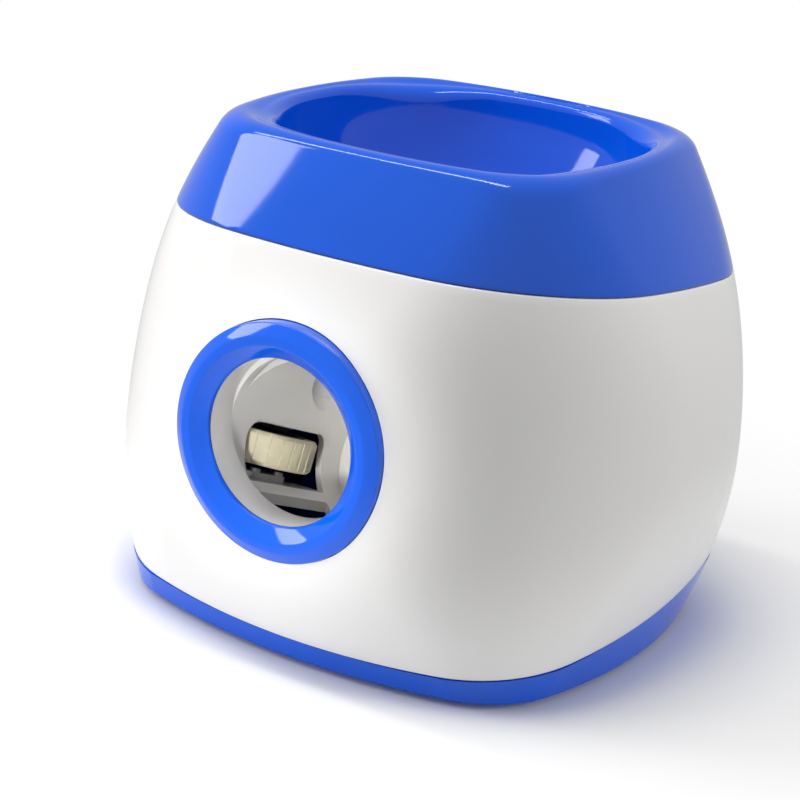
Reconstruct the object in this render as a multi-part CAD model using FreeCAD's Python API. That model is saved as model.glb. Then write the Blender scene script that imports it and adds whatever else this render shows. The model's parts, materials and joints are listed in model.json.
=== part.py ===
import FreeCAD, Part
import math
import os

# Automatic dog ball launcher, in millimetres.
# Origin: bottom centre of the feet. +Z up, the port looks along -Y, +X is the right side.
V = FreeCAD.Vector
os.makedirs("parts", exist_ok=True)

# Outer form: a crowned rounded square that swells and draws in with height.
STATION_Z = (0.0, 40.0, 80.0, 120.0, 160.0, 200.0)
HALF_WIDTH = (97.8, 109.2, 114.8, 109.0, 91.4, 68.4)
CORNER_SHARE = (0.38, 0.68, 0.87, 0.85, 0.61, 0.27)
CROWN_SHARE = (2.09, 2.29, 2.49, 2.69, 2.89, 3.09)
DEPTH_SHARE = 0.956
WALL = 2.5
SEAM_GAP = 0.3

# Seams of the casing: height at the middle and rise towards the back.
BASE_SEAM_Z = 21.9
BASE_SEAM_RISE = 0.122
CAP_SEAM_Z = 144.8
CAP_SEAM_RISE = -0.061
RIM_Z = 186.9
RIM_RISE = 0.032
FOOT_HEIGHT = 2.5

# The ball that it throws, and the port and barrel that it leaves by.
BALL_R = 25.0
PORT_Z = 85.4
PORT_PLANE_Y = -104.4
RING_OUTER_R = 42.8
RING_BORE_R = 29.9
RING_PROUD = 5.4
BARREL_TILT = 20.0
BARREL_BORE_R = 30.8
BARREL_WALL = 2.4
BARREL_START = 13.0
BARREL_LENGTH = 95.0

# Hopper bowl and its outlet.
BOWL_TOP_R = 69.0
BOWL_FLOOR_Z = 119.0
OUTLET_R = 28.0
OUTLET_Y = -36.0
BOWL_WALL = 2.6
OUTLET_STEP = 1.2
RIM_ROUND = 6.0

# Flywheels, one each side of the barrel.
WHEEL_R = 33.0
WHEEL_WIDTH = 12.5
WHEEL_NIP = 46.0
WHEEL_STATION = 54.0
TREAD_DEPTH = 5.0
TREAD_RIBS = 36
MOTOR_R = 12.0
MOTOR_LENGTH = 30.0
SHAFT_R = 1.6
RUN_FIT = 0.06
PLATE = 2.2

# Feed gate and its gears.
GATE_PIVOT_X = 48.0
GATE_Z = 101.0
GATE_THICK = 3.0
GATE_REACH = 54.0
GEAR_MODULE = 0.8
WHEEL_TEETH = 36
PINION_TEETH = 10
GEAR_WIDTH = 5.0
GEAR_BACKLASH = 0.12
GEAR_PLATE_Z = 84.0

# Battery bay for six C cells, and its door, whose lugs run on the ledge of the bay.
CELL_LENGTH = 50.0
CELL_R = 13.1
CELL_ROOM = 1.5
BAY_FRONT_Y = -5.0
DOOR_THICK = 2.0
DOOR_TRAVEL = 5.0
DOOR_LEDGE = 4.0
DOOR_TUCK = 1.0
DOOR_ROOM = 0.2
DOOR_GROOVES = 5
LUG_LENGTH = 6.0
LUG_REACH = 2.3
LUG_RISE = 1.0

# Rear control panel.
PANEL_HALF_W = 44.0
PANEL_Z = 74.0
PANEL_HALF_H = 23.0
PANEL_FACE_Y = 103.5
PANEL_THICK = 2.4
BUTTON_TRAVEL = 2.0
SCREW_R = 1.5
HEAD_R = 2.9
HEAD_H = 2.0

X_AXIS = V(1, 0, 0)
Y_AXIS = V(0, 1, 0)
Z_AXIS = V(0, 0, 1)
ZERO = V(0, 0, 0)
PORT = V(0, PORT_PLANE_Y, PORT_Z)
BARREL_OUTER_R = BARREL_BORE_R + BARREL_WALL
BALL_DROP = BARREL_BORE_R - BALL_R
WHEEL_X = WHEEL_NIP / 2 + WHEEL_R
SIDES = {"left": -1, "right": 1}


def save(shape, name):
    """Write one node and report its solids."""
    shape = shape.removeSplitter()
    shape.exportStep("parts/" + name + ".step")
    print(name, len(shape.Solids), round(shape.Volume, 1), shape.isValid())


def box(x0, x1, y0, y1, z0, z1):
    return Part.makeBox(x1 - x0, y1 - y0, z1 - z0, V(x0, y0, z0))


def cylinder(r, height, base, axis=Z_AXIS):
    return Part.makeCylinder(r, height, base, axis)


def tube(outer_r, inner_r, height, base, axis=Z_AXIS):
    hole_base = base - axis * 1.0
    return cylinder(outer_r, height, base, axis).cut(cylinder(inner_r, height + 2, hole_base, axis))


def joined(shapes):
    """Fuse solids that touch into one."""
    return shapes[0].multiFuse(shapes[1:]) if len(shapes) > 1 else shapes[0]


def rounded_plate(x0, x1, y0, y1, z0, z1, radius):
    plate = box(x0, x1, y0, y1, z0, z1)
    uprights = [e for e in plate.Edges if abs(e.tangentAt(e.FirstParameter).z) > 0.99]
    return plate.makeFillet(radius, uprights)


def screw(base, axis, length):
    """A pan-head screw: the head stands on base, the shank runs against the axis."""
    head = cylinder(HEAD_R, HEAD_H, base, axis)
    slot_size = 3.0
    slot = Part.makeBox(slot_size, 0.8, 2.0, V(-slot_size / 2, -0.4, HEAD_H - 0.9))
    slot = slot.fuse(Part.makeBox(0.8, slot_size, 2.0, V(-0.4, -slot_size / 2, HEAD_H - 0.9)))
    turn = FreeCAD.Rotation(Z_AXIS, axis)
    slot.Placement = FreeCAD.Placement(base, turn)
    return head.cut(slot).fuse(cylinder(SCREW_R - 0.05, length + 0.5, base + axis * 0.5, axis * -1))


def in_barrel(shape):
    """Carry a shape from the barrel's own axes (Y inward, Z square to it) into the casing."""
    moved = shape.copy()
    moved.rotate(ZERO, X_AXIS, -BARREL_TILT)
    moved.translate(PORT)
    return moved


def barrel_point(x, y, z):
    """A point given along the barrel's own axes."""
    tilt = math.radians(BARREL_TILT)
    return PORT + V(x, y * math.cos(tilt) + z * math.sin(tilt), z * math.cos(tilt) - y * math.sin(tilt))


def crowned_wire(half_x, half_y, crown_r, corner_r, z):
    """Four shallow crowned sides joined by four corner arcs, tangent all round."""
    centre_x = V(half_x - crown_r, 0, z)
    centre_y = V(0, half_y - crown_r, z)
    reach = crown_r - corner_r
    gap = centre_x - centre_y
    middle = (centre_x + centre_y) * 0.5
    across = V(-gap.y, gap.x, 0).normalize()
    if across.x < 0:
        across = across * -1
    corner = middle + across * math.sqrt(reach ** 2 - (gap.Length / 2) ** 2)
    on_x = centre_x + (corner - centre_x).normalize() * crown_r
    on_y = centre_y + (corner - centre_y).normalize() * crown_r
    nose = corner + (corner - middle).normalize() * corner_r

    def flip(point, sx, sy):
        return V(point.x * sx, point.y * sy, z)

    edges = []
    for sx, sy in ((1, 1), (-1, 1), (-1, -1), (1, -1)):
        first, last = (on_x, on_y) if sx * sy > 0 else (on_y, on_x)
        edges.append(Part.Arc(flip(first, sx, sy), flip(nose, sx, sy), flip(last, sx, sy)).toShape())
        if sx * sy > 0:
            crest = V(0, half_y * sy, z)
            start, end = flip(on_y, sx, sy), flip(on_y, -sx, sy)
        else:
            crest = V(half_x * sx, 0, z)
            start, end = flip(on_x, sx, sy), flip(on_x, sx, -sy)
        edges.append(Part.Arc(start, crest, end).toShape())
    return Part.Wire(edges)


def form(inset=0.0):
    """The whole outer form as one solid, drawn in by inset."""
    wires = []
    for z, half, corner, crown in zip(STATION_Z, HALF_WIDTH, CORNER_SHARE, CROWN_SHARE):
        half_y = half * DEPTH_SHARE
        wires.append(crowned_wire(half - inset, half_y - inset, crown * half - inset,
                                  max(corner * half - inset, 4.0), z))
    return Part.makeLoft(wires, True, False)


def under(z, rise):
    """Everything below a plane that stands at z on the axis and rises towards the back."""
    reach = 300.0
    block = box(-reach, reach, -reach, reach, -reach, 0)
    block.rotate(ZERO, X_AXIS, math.degrees(math.atan(rise)))
    block.translate(V(0, 0, z))
    return block


def involute_gear(teeth, width, base, tooth_angle, bore_r):
    """Spur gear with involute flanks; one tooth points at tooth_angle degrees."""
    pitch_r = GEAR_MODULE * teeth / 2
    base_r = pitch_r * math.cos(math.radians(20))
    tip_r = pitch_r + 0.9 * GEAR_MODULE
    root_r = pitch_r - 1.2 * GEAR_MODULE
    invol = math.tan(math.radians(20)) - math.radians(20)
    half_tooth = math.pi / (2 * teeth) - GEAR_BACKLASH / (2 * pitch_r) + invol
    outline = []
    for k in range(teeth):
        middle = math.radians(tooth_angle) + 2 * math.pi * k / teeth
        flank = []
        for r in (max(base_r, root_r), pitch_r, tip_r):
            roll = math.acos(min(1.0, base_r / r))
            flank.append((r, half_tooth - (math.tan(roll) - roll)))
        side = [(root_r, flank[0][1])] + [f for f in flank if f[0] > root_r + 0.01]
        for r, a in side:
            outline.append(V(r * math.cos(middle - a), r * math.sin(middle - a), 0))
        for r, a in reversed(side):
            outline.append(V(r * math.cos(middle + a), r * math.sin(middle + a), 0))
    outline.append(outline[0])
    blank = Part.Face(Part.makePolygon(outline)).extrude(V(0, 0, width))
    blank.translate(base)
    return blank.cut(cylinder(bore_r, width + 2, base - V(0, 0, 1)))


# Places that several pieces share.
FULL = form()
INNER = form(WALL)
LINER = form(WALL + SEAM_GAP)
CELL_BAY_X = CELL_LENGTH + CELL_ROOM
CELL_BAY_LENGTH = 6 * CELL_R + CELL_ROOM
CELL_BAY_BACK_Y = BAY_FRONT_Y + CELL_BAY_LENGTH
BASE_Z = FOOT_HEIGHT
FLOOR_TOP = BASE_Z + WALL
DOOR_TOP = BASE_Z + DOOR_THICK
BAY_TOP = FLOOR_TOP + 2 * CELL_R + CELL_ROOM
POST_R = 5.0
BASE_POSTS = [V(sx * 80, sy * 64, 0) for sx in (-1, 1) for sy in (-1, 1)]
BASE_POST_TOP = 26.0
POST_HEIGHT = 20.0
CAP_POSTS = [V(sx * 62, sy * 59, 0) for sx in (-1, 1) for sy in (-1, 1)]
EAR_Z = 130.0
FEET = [V(sx * 58, sy * 56, 0) for sx in (-1, 1) for sy in (-1, 1)]
FOOT_R = 8.0
BARREL_FEET = [V(sx * 24, PORT_PLANE_Y + 30, 0) for sx in (-1, 1)]
BARREL_FOOT_Z = FLOOR_TOP + 8.0
GATE_PIVOT = V(GATE_PIVOT_X, OUTLET_Y, 0)
GEAR_STEP = GEAR_MODULE * (WHEEL_TEETH + PINION_TEETH) / 2
REDUCER_BEARING = 50.0
MOTOR_BEARING = 60.0


def bearing_step(bearing, step):
    """A step along the floor in the direction of a bearing in degrees."""
    return V(math.cos(math.radians(bearing)), math.sin(math.radians(bearing)), 0) * step


REDUCER = GATE_PIVOT + bearing_step(REDUCER_BEARING, GEAR_STEP)
FEED_MOTOR = REDUCER + bearing_step(MOTOR_BEARING, GEAR_STEP)


def corner_web(point, z0, z1):
    """A rib from a post out to the casing wall, trimmed to the casing's inside."""
    bearing = math.degrees(math.atan2(point.y, point.x))
    rib = box(0, 60, -1.5, 1.5, z0, z1)
    rib.rotate(ZERO, Z_AXIS, bearing)
    rib.translate(V(point.x, point.y, 0))
    return rib.common(form(WALL / 2))


def base_pan():
    """Blue tray: floor, battery bay, posts for the body screws and the barrel."""
    outer = FULL.common(box(-200, 200, -200, 200, BASE_Z, 80)).common(under(BASE_SEAM_Z, BASE_SEAM_RISE))
    hollow = INNER.common(box(-200, 200, -200, 200, FLOOR_TOP, 90))
    pan = outer.cut(hollow)
    wall = 2.0
    bay_outer = box(-CELL_BAY_X - wall, CELL_BAY_X + wall, BAY_FRONT_Y - wall, CELL_BAY_BACK_Y + wall,
                    BASE_Z, BAY_TOP + wall)
    pan = pan.fuse(bay_outer)
    for post in BASE_POSTS:
        pan = pan.fuse(cylinder(POST_R, BASE_POST_TOP - BASE_Z, V(post.x, post.y, BASE_Z)))
    for post in BARREL_FEET:
        pan = pan.fuse(cylinder(POST_R, BARREL_FOOT_Z - BASE_Z, V(post.x, post.y, BASE_Z)))
    pan = pan.cut(box(-CELL_BAY_X, CELL_BAY_X, BAY_FRONT_Y, CELL_BAY_BACK_Y, FLOOR_TOP, BAY_TOP))
    doorway_x = CELL_BAY_X - DOOR_LEDGE
    doorway_back = CELL_BAY_BACK_Y - DOOR_LEDGE
    doorway_front = BAY_FRONT_Y + DOOR_LEDGE
    pan = pan.cut(box(-doorway_x, doorway_x, doorway_front, doorway_back, BASE_Z - 1, FLOOR_TOP + 1))
    pocket_back = doorway_back + DOOR_TUCK + DOOR_TRAVEL + SEAM_GAP
    lid_top = DOOR_TOP + DOOR_ROOM + 1.5
    pan = pan.fuse(box(-doorway_x, doorway_x, doorway_back, pocket_back + 2, FLOOR_TOP - 1, lid_top))
    pan = pan.cut(box(-doorway_x, doorway_x, doorway_back - 1, pocket_back, BASE_Z - 1, DOOR_TOP + DOOR_ROOM))
    for post in BASE_POSTS:
        pan = pan.cut(cylinder(SCREW_R, 60, V(post.x, post.y, BASE_Z - 1)))
        pan = pan.cut(cylinder(HEAD_R + 0.4, HEAD_H + 1.2, V(post.x, post.y, BASE_Z - 1)))
    for post in BARREL_FEET:
        pan = pan.cut(cylinder(SCREW_R, 12, V(post.x, post.y, BARREL_FOOT_Z - 11)))
    for foot in FEET:
        pan = pan.cut(cylinder(FOOT_R + 0.05, 1.0, V(foot.x, foot.y, BASE_Z - 0.01)))
    return pan


def battery_door():
    """Door that closes the bay from below, hangs by four lugs and slides back under the pan's lid."""
    half = CELL_BAY_X - DOOR_LEDGE - SEAM_GAP
    back = CELL_BAY_BACK_Y - DOOR_LEDGE + DOOR_TUCK
    door = box(-half, half, BAY_FRONT_Y + DOOR_LEDGE + SEAM_GAP, back, BASE_Z, DOOR_TOP)
    for sign in SIDES.values():
        for cells in (1, 2):
            y = BAY_FRONT_Y + CELL_ROOM / 2 + 2 * CELL_R * cells
            lug = box(half - 1.5, half, y - LUG_LENGTH / 2, y + LUG_LENGTH / 2, BASE_Z, FLOOR_TOP + LUG_RISE)
            tongue = box(half - 1.5, half + LUG_REACH, y - LUG_LENGTH / 2, y + LUG_LENGTH / 2,
                         FLOOR_TOP + RUN_FIT, FLOOR_TOP + LUG_RISE)
            lug = lug.fuse(tongue)
            door = door.fuse(lug if sign > 0 else lug.mirror(ZERO, X_AXIS))
    for k in range(DOOR_GROOVES):
        y = back - 24 + k * 3.0
        door = door.cut(box(-14, 14, y, y + 1.2, BASE_Z - 1, BASE_Z + 0.8))
    return door


def body_shell():
    """White drum: port collar, rear well, posts and ears."""
    shell = FULL.cut(under(BASE_SEAM_Z + SEAM_GAP, BASE_SEAM_RISE))
    shell = shell.common(under(CAP_SEAM_Z, CAP_SEAM_RISE)).cut(INNER)
    shell = shell.cut(cylinder(RING_OUTER_R + SEAM_GAP, 60, V(0, PORT_PLANE_Y - 30, PORT_Z), Y_AXIS))
    pocket_r = RING_OUTER_R + SEAM_GAP + WALL
    pocket = cylinder(pocket_r, RING_SEAT_Y + WALL + 130, V(0, -130, PORT_Z), Y_AXIS).common(form(0.2))
    pocket = pocket.cut(cylinder(RING_OUTER_R + SEAM_GAP, RING_SEAT_Y + 140, V(0, -140, PORT_Z), Y_AXIS))
    pocket = pocket.cut(cylinder(RING_SEAT_R + 0.2, 100, V(0, -140, PORT_Z), Y_AXIS))
    shell = shell.fuse(pocket)
    well_low, well_high = PANEL_Z - PANEL_HALF_H, PANEL_Z + PANEL_HALF_H
    shell = shell.cut(box(-PANEL_HALF_W, PANEL_HALF_W, 80, 140, well_low, well_high))
    for post in BASE_POSTS:
        column = cylinder(POST_R, POST_HEIGHT, V(post.x, post.y, BASE_POST_TOP))
        web = corner_web(post, BASE_POST_TOP + 6, BASE_POST_TOP + POST_HEIGHT)
        column = column.fuse(web).cut(cylinder(SCREW_R, 20, V(post.x, post.y, BASE_POST_TOP - 1)))
        shell = shell.fuse(column)
    for post in CAP_POSTS:
        ear = cylinder(POST_R, 4, V(post.x, post.y, EAR_Z)).fuse(corner_web(post, EAR_Z - 8, EAR_Z + 4))
        ear = ear.cut(cylinder(SCREW_R + 0.15, 30, V(post.x, post.y, EAR_Z - 10)))
        ear = ear.cut(cylinder(HEAD_R + 0.6, 12, V(post.x, post.y, EAR_Z - 12)))
        shell = shell.fuse(ear)
    return shell


def bowl_solid(grow):
    """The room inside the bowl, from the rim down to the outlet, grown by a wall."""
    top_z = RIM_Z
    top = crowned_wire(BOWL_TOP_R + grow, BOWL_TOP_R * DEPTH_SHARE + grow, 1.45 * BOWL_TOP_R + grow,
                       0.86 * BOWL_TOP_R + grow, top_z + 9)
    upper = crowned_wire(BOWL_TOP_R - 3 + grow, BOWL_TOP_R * DEPTH_SHARE - 3 + grow,
                         1.45 * BOWL_TOP_R + grow, 0.84 * BOWL_TOP_R + grow, top_z - 16)
    waist = crowned_wire(BOWL_TOP_R - 12 + grow, BOWL_TOP_R * DEPTH_SHARE - 10 + grow,
                         1.3 * BOWL_TOP_R + grow, 0.76 * BOWL_TOP_R + grow, top_z - 40)
    waist.translate(V(0, OUTLET_Y * 0.2, 0))
    low = crowned_wire(46 + grow, 42 + grow, 62 + grow, 38 + grow, BOWL_FLOOR_Z + 13 - grow)
    low.translate(V(0, OUTLET_Y * 0.6, 0))
    half = OUTLET_R + OUTLET_STEP + grow
    outlet = crowned_wire(half, half, half + 2, half - 1, BOWL_FLOOR_Z - grow)
    outlet.translate(V(0, OUTLET_Y, 0))
    return Part.makeLoft([outlet, low, waist, upper, top], True, False)


def hopper():
    """Blue cap with its rolled rim, and the bowl that leads the balls to the outlet."""
    cap = FULL.cut(under(CAP_SEAM_Z + SEAM_GAP, CAP_SEAM_RISE)).common(under(RIM_Z, RIM_RISE))
    rim_edges = [e for e in cap.Edges if e.BoundBox.ZMin > RIM_Z - 8]
    cap = cap.makeFillet(RIM_ROUND, rim_edges)
    hollow = INNER.common(under(RIM_Z - WALL - 1, RIM_RISE)).cut(bowl_solid(BOWL_WALL))
    cap = cap.cut(hollow)
    dish = bowl_solid(BOWL_WALL).common(under(RIM_Z - WALL, RIM_RISE))
    cap = cap.fuse(dish)
    neck_drop = 8.0
    cap = cap.fuse(cylinder(NECK_R - 0.2, neck_drop + 3, V(0, OUTLET_Y, BOWL_FLOOR_Z - neck_drop)))
    cap = cap.cut(bowl_solid(0))
    cap = cap.cut(cylinder(OUTLET_R, neck_drop + 12, V(0, OUTLET_Y, BOWL_FLOOR_Z - neck_drop - 1)))
    for post in CAP_POSTS:
        column = cylinder(POST_R - 0.5, 44, V(post.x, post.y, EAR_Z + 4))
        column = column.cut(bowl_solid(BOWL_WALL / 2)).common(form(WALL / 2))
        column = column.cut(cylinder(SCREW_R, 14, V(post.x, post.y, EAR_Z + 3)))
        cap = cap.fuse(column)
    tongue = LINER.cut(form(WALL + 1.8)).common(under(CAP_SEAM_Z + 4, CAP_SEAM_RISE))
    tongue = tongue.cut(under(CAP_SEAM_Z - 5, CAP_SEAM_RISE))
    root = form(WALL / 2).cut(form(WALL + 1.8)).common(under(CAP_SEAM_Z + 4, CAP_SEAM_RISE))
    root = root.cut(under(CAP_SEAM_Z + SEAM_GAP, CAP_SEAM_RISE))
    return cap.fuse(tongue.fuse(root))


def port_ring():
    """Blue bezel of the port: outer chamfer, flat crown and a conical throat."""
    front = PORT_PLANE_Y - RING_PROUD
    shoulder = PORT_PLANE_Y - RING_PROUD / 2
    profile = [(RING_OUTER_R, shoulder), (RING_OUTER_R - 4.4, front), (RING_OUTER_R - 7.6, front),
               (RING_BORE_R + 0.6, PORT_PLANE_Y - 1.4), (RING_BORE_R, PORT_PLANE_Y - 0.8),
               (RING_BORE_R, RING_BACK_Y), (RING_SEAT_R, RING_BACK_Y), (RING_SEAT_R, RING_SEAT_Y),
               (RING_OUTER_R, RING_SEAT_Y)]
    points = [V(r, y, PORT_Z) for r, y in profile]
    face = Part.Face(Part.makePolygon(points + [points[0]]))
    return face.revolve(V(0, 0, PORT_Z), Y_AXIS, 360)


def wheel_window(side):
    """Opening in the barrel wall that the flywheel reaches through."""
    low = WINDOW_LOW[side]
    window = box(8 if side == "right" else 2, 45, WINDOW_FRONT, WINDOW_BACK, low, WINDOW_TOP)
    long_edges = [e for e in window.Edges if abs(e.tangentAt(e.FirstParameter).x) > 0.99]
    window = window.makeFillet(6.0, long_edges)
    return window if side == "right" else window.mirror(ZERO, X_AXIS)


def launch_barrel():
    """Tilted tube that the balls lie in, with its windows, feet and a shelf across each window."""
    bore = cylinder(BARREL_BORE_R, BARREL_LENGTH - BARREL_START, V(0, BARREL_START, 0), Y_AXIS)
    outer_length = BARREL_LENGTH - BARREL_START + BARREL_WALL
    solid = cylinder(BARREL_OUTER_R, outer_length, V(0, BARREL_START, 0), Y_AXIS)
    bore = bore.fuse(cylinder(BARREL_BORE_R, 30, V(0, BARREL_START - 29, 0), Y_AXIS))
    solid = in_barrel(solid)
    for foot in BARREL_FEET:
        leg = cylinder(POST_R, 40, V(foot.x, foot.y, BARREL_FOOT_Z))
        fin_top = BARREL_FOOT_Z + 36
        leg = leg.fuse(box(foot.x - 1.2, foot.x + 1.2, foot.y - 10, foot.y + 10, BARREL_FOOT_Z, fin_top))
        solid = solid.fuse(leg.cut(in_barrel(cylinder(BARREL_OUTER_R - 1, 200, V(0, -50, 0), Y_AXIS))))
    mouth = tube(MOUTH_R, BARREL_BORE_R - 3, 4.0, V(0, MOUTH_Y, PORT_Z), Y_AXIS)
    trimmed = solid.common(box(-100, 100, MOUTH_Y, 100, 0, 150))
    solid = trimmed.fuse(mouth)
    solid = solid.cut(in_barrel(bore))
    for side in SIDES:
        solid = solid.cut(in_barrel(wheel_window(side)))
    shelf = box(BARREL_BORE_R - 8, SHELF_END, WINDOW_FRONT - 2.5, WINDOW_BACK + 2.5, SHELF_TOP - 7, SHELF_TOP)
    shelf = shelf.cut(cylinder(BARREL_BORE_R, 200, V(0, -50, 0), Y_AXIS))
    for sign in SIDES.values():
        solid = solid.fuse(in_barrel(shelf if sign > 0 else shelf.mirror(ZERO, X_AXIS)))
    drop = cylinder(OUTLET_R, 60, V(0, OUTLET_Y, BARREL_AXIS_Z))
    solid = solid.cut(drop.common(in_barrel(box(-60, 60, -50, BARREL_LENGTH, -50, 100))))
    solid = solid.cut(in_barrel(box(-3.7, 3.7, BALL_REST - 14, BALL_REST + 8.2, -40, -20)))
    for foot in BARREL_FEET:
        solid = solid.cut(cylinder(SCREW_R, 14, V(foot.x, foot.y, BARREL_FOOT_Z - 1)))
    for sign in SIDES.values():
        for y in (WHEEL_STATION - 8, WHEEL_STATION + 8):
            hole_base = V(sign * (SHELF_END - 3.5), y, SHELF_TOP - 6.5)
            solid = solid.cut(in_barrel(cylinder(SCREW_R, 9, hole_base)))
    return max(solid.Solids, key=lambda s: s.Volume)


def feed_chute():
    """Upright tube from the hopper's neck down onto the barrel, slotted for the gate."""
    top = BOWL_FLOOR_Z - 3.0
    bottom = BARREL_AXIS_Z
    chute = cylinder(CHUTE_R, top - bottom, V(0, OUTLET_Y, bottom))
    chute = chute.fuse(cylinder(NECK_R + BOWL_WALL, 10, V(0, OUTLET_Y, top - 10)))
    arm = box(20, GATE_PIVOT_X + 12, OUTLET_Y - 12, OUTLET_Y + 12, GEAR_PLATE_Z - 4, GEAR_PLATE_Z)
    chute = chute.fuse(arm)
    chute = chute.cut(cylinder(OUTLET_R, 200, V(0, OUTLET_Y, 0)))
    chute = chute.cut(cylinder(NECK_R, 12, V(0, OUTLET_Y, BOWL_FLOOR_Z - 8.0 - SEAM_GAP)))
    chute = chute.cut(in_barrel(cylinder(BARREL_OUTER_R + SEAM_GAP, 220, V(0, -60, 0), Y_AXIS)))
    lugs = in_barrel(box(-60, 60, WHEEL_STATION - 30, WHEEL_STATION + 30, SHELF_TOP - 12, SHELF_TOP + 2))
    chute = chute.cut(lugs)
    slot_z = GATE_Z - SLOT_ROOM
    slot = cylinder(GATE_REACH + 3, GATE_THICK + 2 * SLOT_ROOM, V(GATE_PIVOT.x, GATE_PIVOT.y, slot_z))
    sector = box(-200, GATE_PIVOT_X, OUTLET_Y - GATE_HALF - 3, OUTLET_Y + 100, slot_z - 1, slot_z + 12)
    chute = chute.cut(slot.common(sector))
    for x in ARM_SCREWS:
        chute = chute.cut(cylinder(SCREW_R, 9, V(x, OUTLET_Y - 7, GEAR_PLATE_Z - 6)))
    chute = chute.cut(cylinder(PIN_R + 1.2, 12, V(GATE_PIVOT.x, GATE_PIVOT.y, GEAR_PLATE_Z - 6)))
    return max(chute.Solids, key=lambda s: s.Volume)


def flywheel_hub(sign):
    """Spoked hub with a boss that grips the motor shaft."""
    rim_r = WHEEL_R - TREAD_DEPTH
    mid = V(sign * WHEEL_X, WHEEL_STATION, WHEEL_MID)
    low = mid - V(0, 0, WHEEL_WIDTH / 2)
    hub = tube(rim_r, rim_r - 3.0, WHEEL_WIDTH, low)
    hub = hub.fuse(cylinder(rim_r - 2, 3.0, mid - V(0, 0, 1.5)))
    hub = hub.fuse(cylinder(5.5, WHEEL_WIDTH, low))
    for k in range(6):
        rib = box(4, rim_r - 2, -1.0, 1.0, -WHEEL_WIDTH / 2 + 1.5, WHEEL_WIDTH / 2 - 1.5)
        rib.rotate(ZERO, Z_AXIS, 60 * k + 15)
        rib.translate(mid)
        hub = hub.fuse(rib)
        hole = cylinder(4.5, WHEEL_WIDTH + 2, mid + V(16, 0, -WHEEL_WIDTH / 2 - 1))
        hole.rotate(mid, Z_AXIS, 60 * k + 45)
        hub = hub.cut(hole)
    hub = hub.cut(cylinder(SHAFT_R, WHEEL_WIDTH + 2, low - V(0, 0, 1)))
    return in_barrel(hub)


def flywheel_tread(sign):
    """Soft cream tyre with bevelled shoulders and shallow cross grooves."""
    inner_r = WHEEL_R - TREAD_DEPTH
    half = WHEEL_WIDTH / 2
    mid = V(sign * WHEEL_X, WHEEL_STATION, WHEEL_MID)
    outline = [(inner_r, -half), (WHEEL_R - 1.2, -half), (WHEEL_R, -half + 1.2), (WHEEL_R, half - 1.2),
               (WHEEL_R - 1.2, half), (inner_r, half)]
    points = [V(r, 0, z) for r, z in outline]
    tread = Part.Face(Part.makePolygon(points + [points[0]])).revolve(ZERO, Z_AXIS, 360)
    grooves = []
    for k in range(TREAD_RIBS):
        groove = box(WHEEL_R - 0.7, WHEEL_R + 2, -0.5, 0.5, -half - 1, half + 1)
        groove.rotate(ZERO, Z_AXIS, 360.0 * k / TREAD_RIBS)
        grooves.append(groove)
    tread = tread.cut(Part.makeCompound(grooves))
    tread.translate(mid)
    return in_barrel(tread)


def drive_motor(sign):
    """Can motor hung under its plate, with a front boss, rear cap and terminals."""
    top = V(sign * WHEEL_X, WHEEL_STATION, SHELF_TOP)
    can = cylinder(MOTOR_R, MOTOR_LENGTH, top - V(0, 0, MOTOR_LENGTH))
    bottom_edge = [e for e in can.Edges if abs(e.BoundBox.ZMax - (SHELF_TOP - MOTOR_LENGTH)) < 0.01
                   and abs(e.BoundBox.ZMin - (SHELF_TOP - MOTOR_LENGTH)) < 0.01]
    can = can.makeFillet(1.5, bottom_edge)
    can = can.fuse(cylinder(4.0, PLATE - 0.2, top))
    can = can.fuse(cylinder(MOTOR_R - 3, 2.0, top - V(0, 0, MOTOR_LENGTH + 2)))
    for side in (-1, 1):
        tab = box(-1.0, 1.0, -0.3, 0.3, -6, 0)
        tab.translate(top + V(side * 6, 0, -MOTOR_LENGTH - 1))
        can = can.fuse(tab)
    can = can.cut(cylinder(SHAFT_R + RUN_FIT, 20, top - V(0, 0, 16)))
    for y in (-8, 8):
        can = can.cut(cylinder(SCREW_R, 6, top + V(0, y, -5)))
    return in_barrel(can)


def motor_shaft(sign):
    top = V(sign * WHEEL_X, WHEEL_STATION, WHEEL_MID + WHEEL_WIDTH / 2 + 1.0)
    length = top.z - SHELF_TOP + 14
    return in_barrel(cylinder(SHAFT_R - 0.02, length, top - V(0, 0, length)))


def motor_plate(sign):
    """Steel plate that carries one motor on the barrel's shelf."""
    plate = rounded_plate(BARREL_OUTER_R + 0.6, WHEEL_X + 14, WHEEL_STATION - 14, WHEEL_STATION + 14,
                          SHELF_TOP, SHELF_TOP + PLATE, 5.0)
    rail_y = WHEEL_STATION + MOTOR_R + 0.2
    rail = box(SHELF_END + 1, WHEEL_X + 8, rail_y, WHEEL_STATION + 14, SHELF_TOP - 6, SHELF_TOP + 1)
    plate = plate.fuse(rail)
    plate = plate.cut(cylinder(4.0 + 0.05, 8, V(WHEEL_X, WHEEL_STATION, SHELF_TOP - 2)))
    for y in (-8, 8):
        plate = plate.cut(cylinder(SCREW_R + 0.1, 8, V(WHEEL_X, WHEEL_STATION + y, SHELF_TOP - 2)))
        plate = plate.cut(cylinder(SCREW_R + 0.1, 8, V(SHELF_END - 3.5, WHEEL_STATION + y, SHELF_TOP - 2)))
    return in_barrel(plate if sign > 0 else plate.mirror(ZERO, X_AXIS))


def motor_screws():
    """Two screws into each motor and two into each shelf."""
    screws = []
    for sign in SIDES.values():
        for y in (-8, 8):
            for x in (WHEEL_X, SHELF_END - 3.5):
                seat = V(sign * x, WHEEL_STATION + y, SHELF_TOP + PLATE)
                small = cylinder(2.6, 1.4, seat).fuse(cylinder(SCREW_R - 0.1, 6, seat - V(0, 0, 5.5)))
                screws.append(in_barrel(small))
    return Part.makeCompound(screws)


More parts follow.
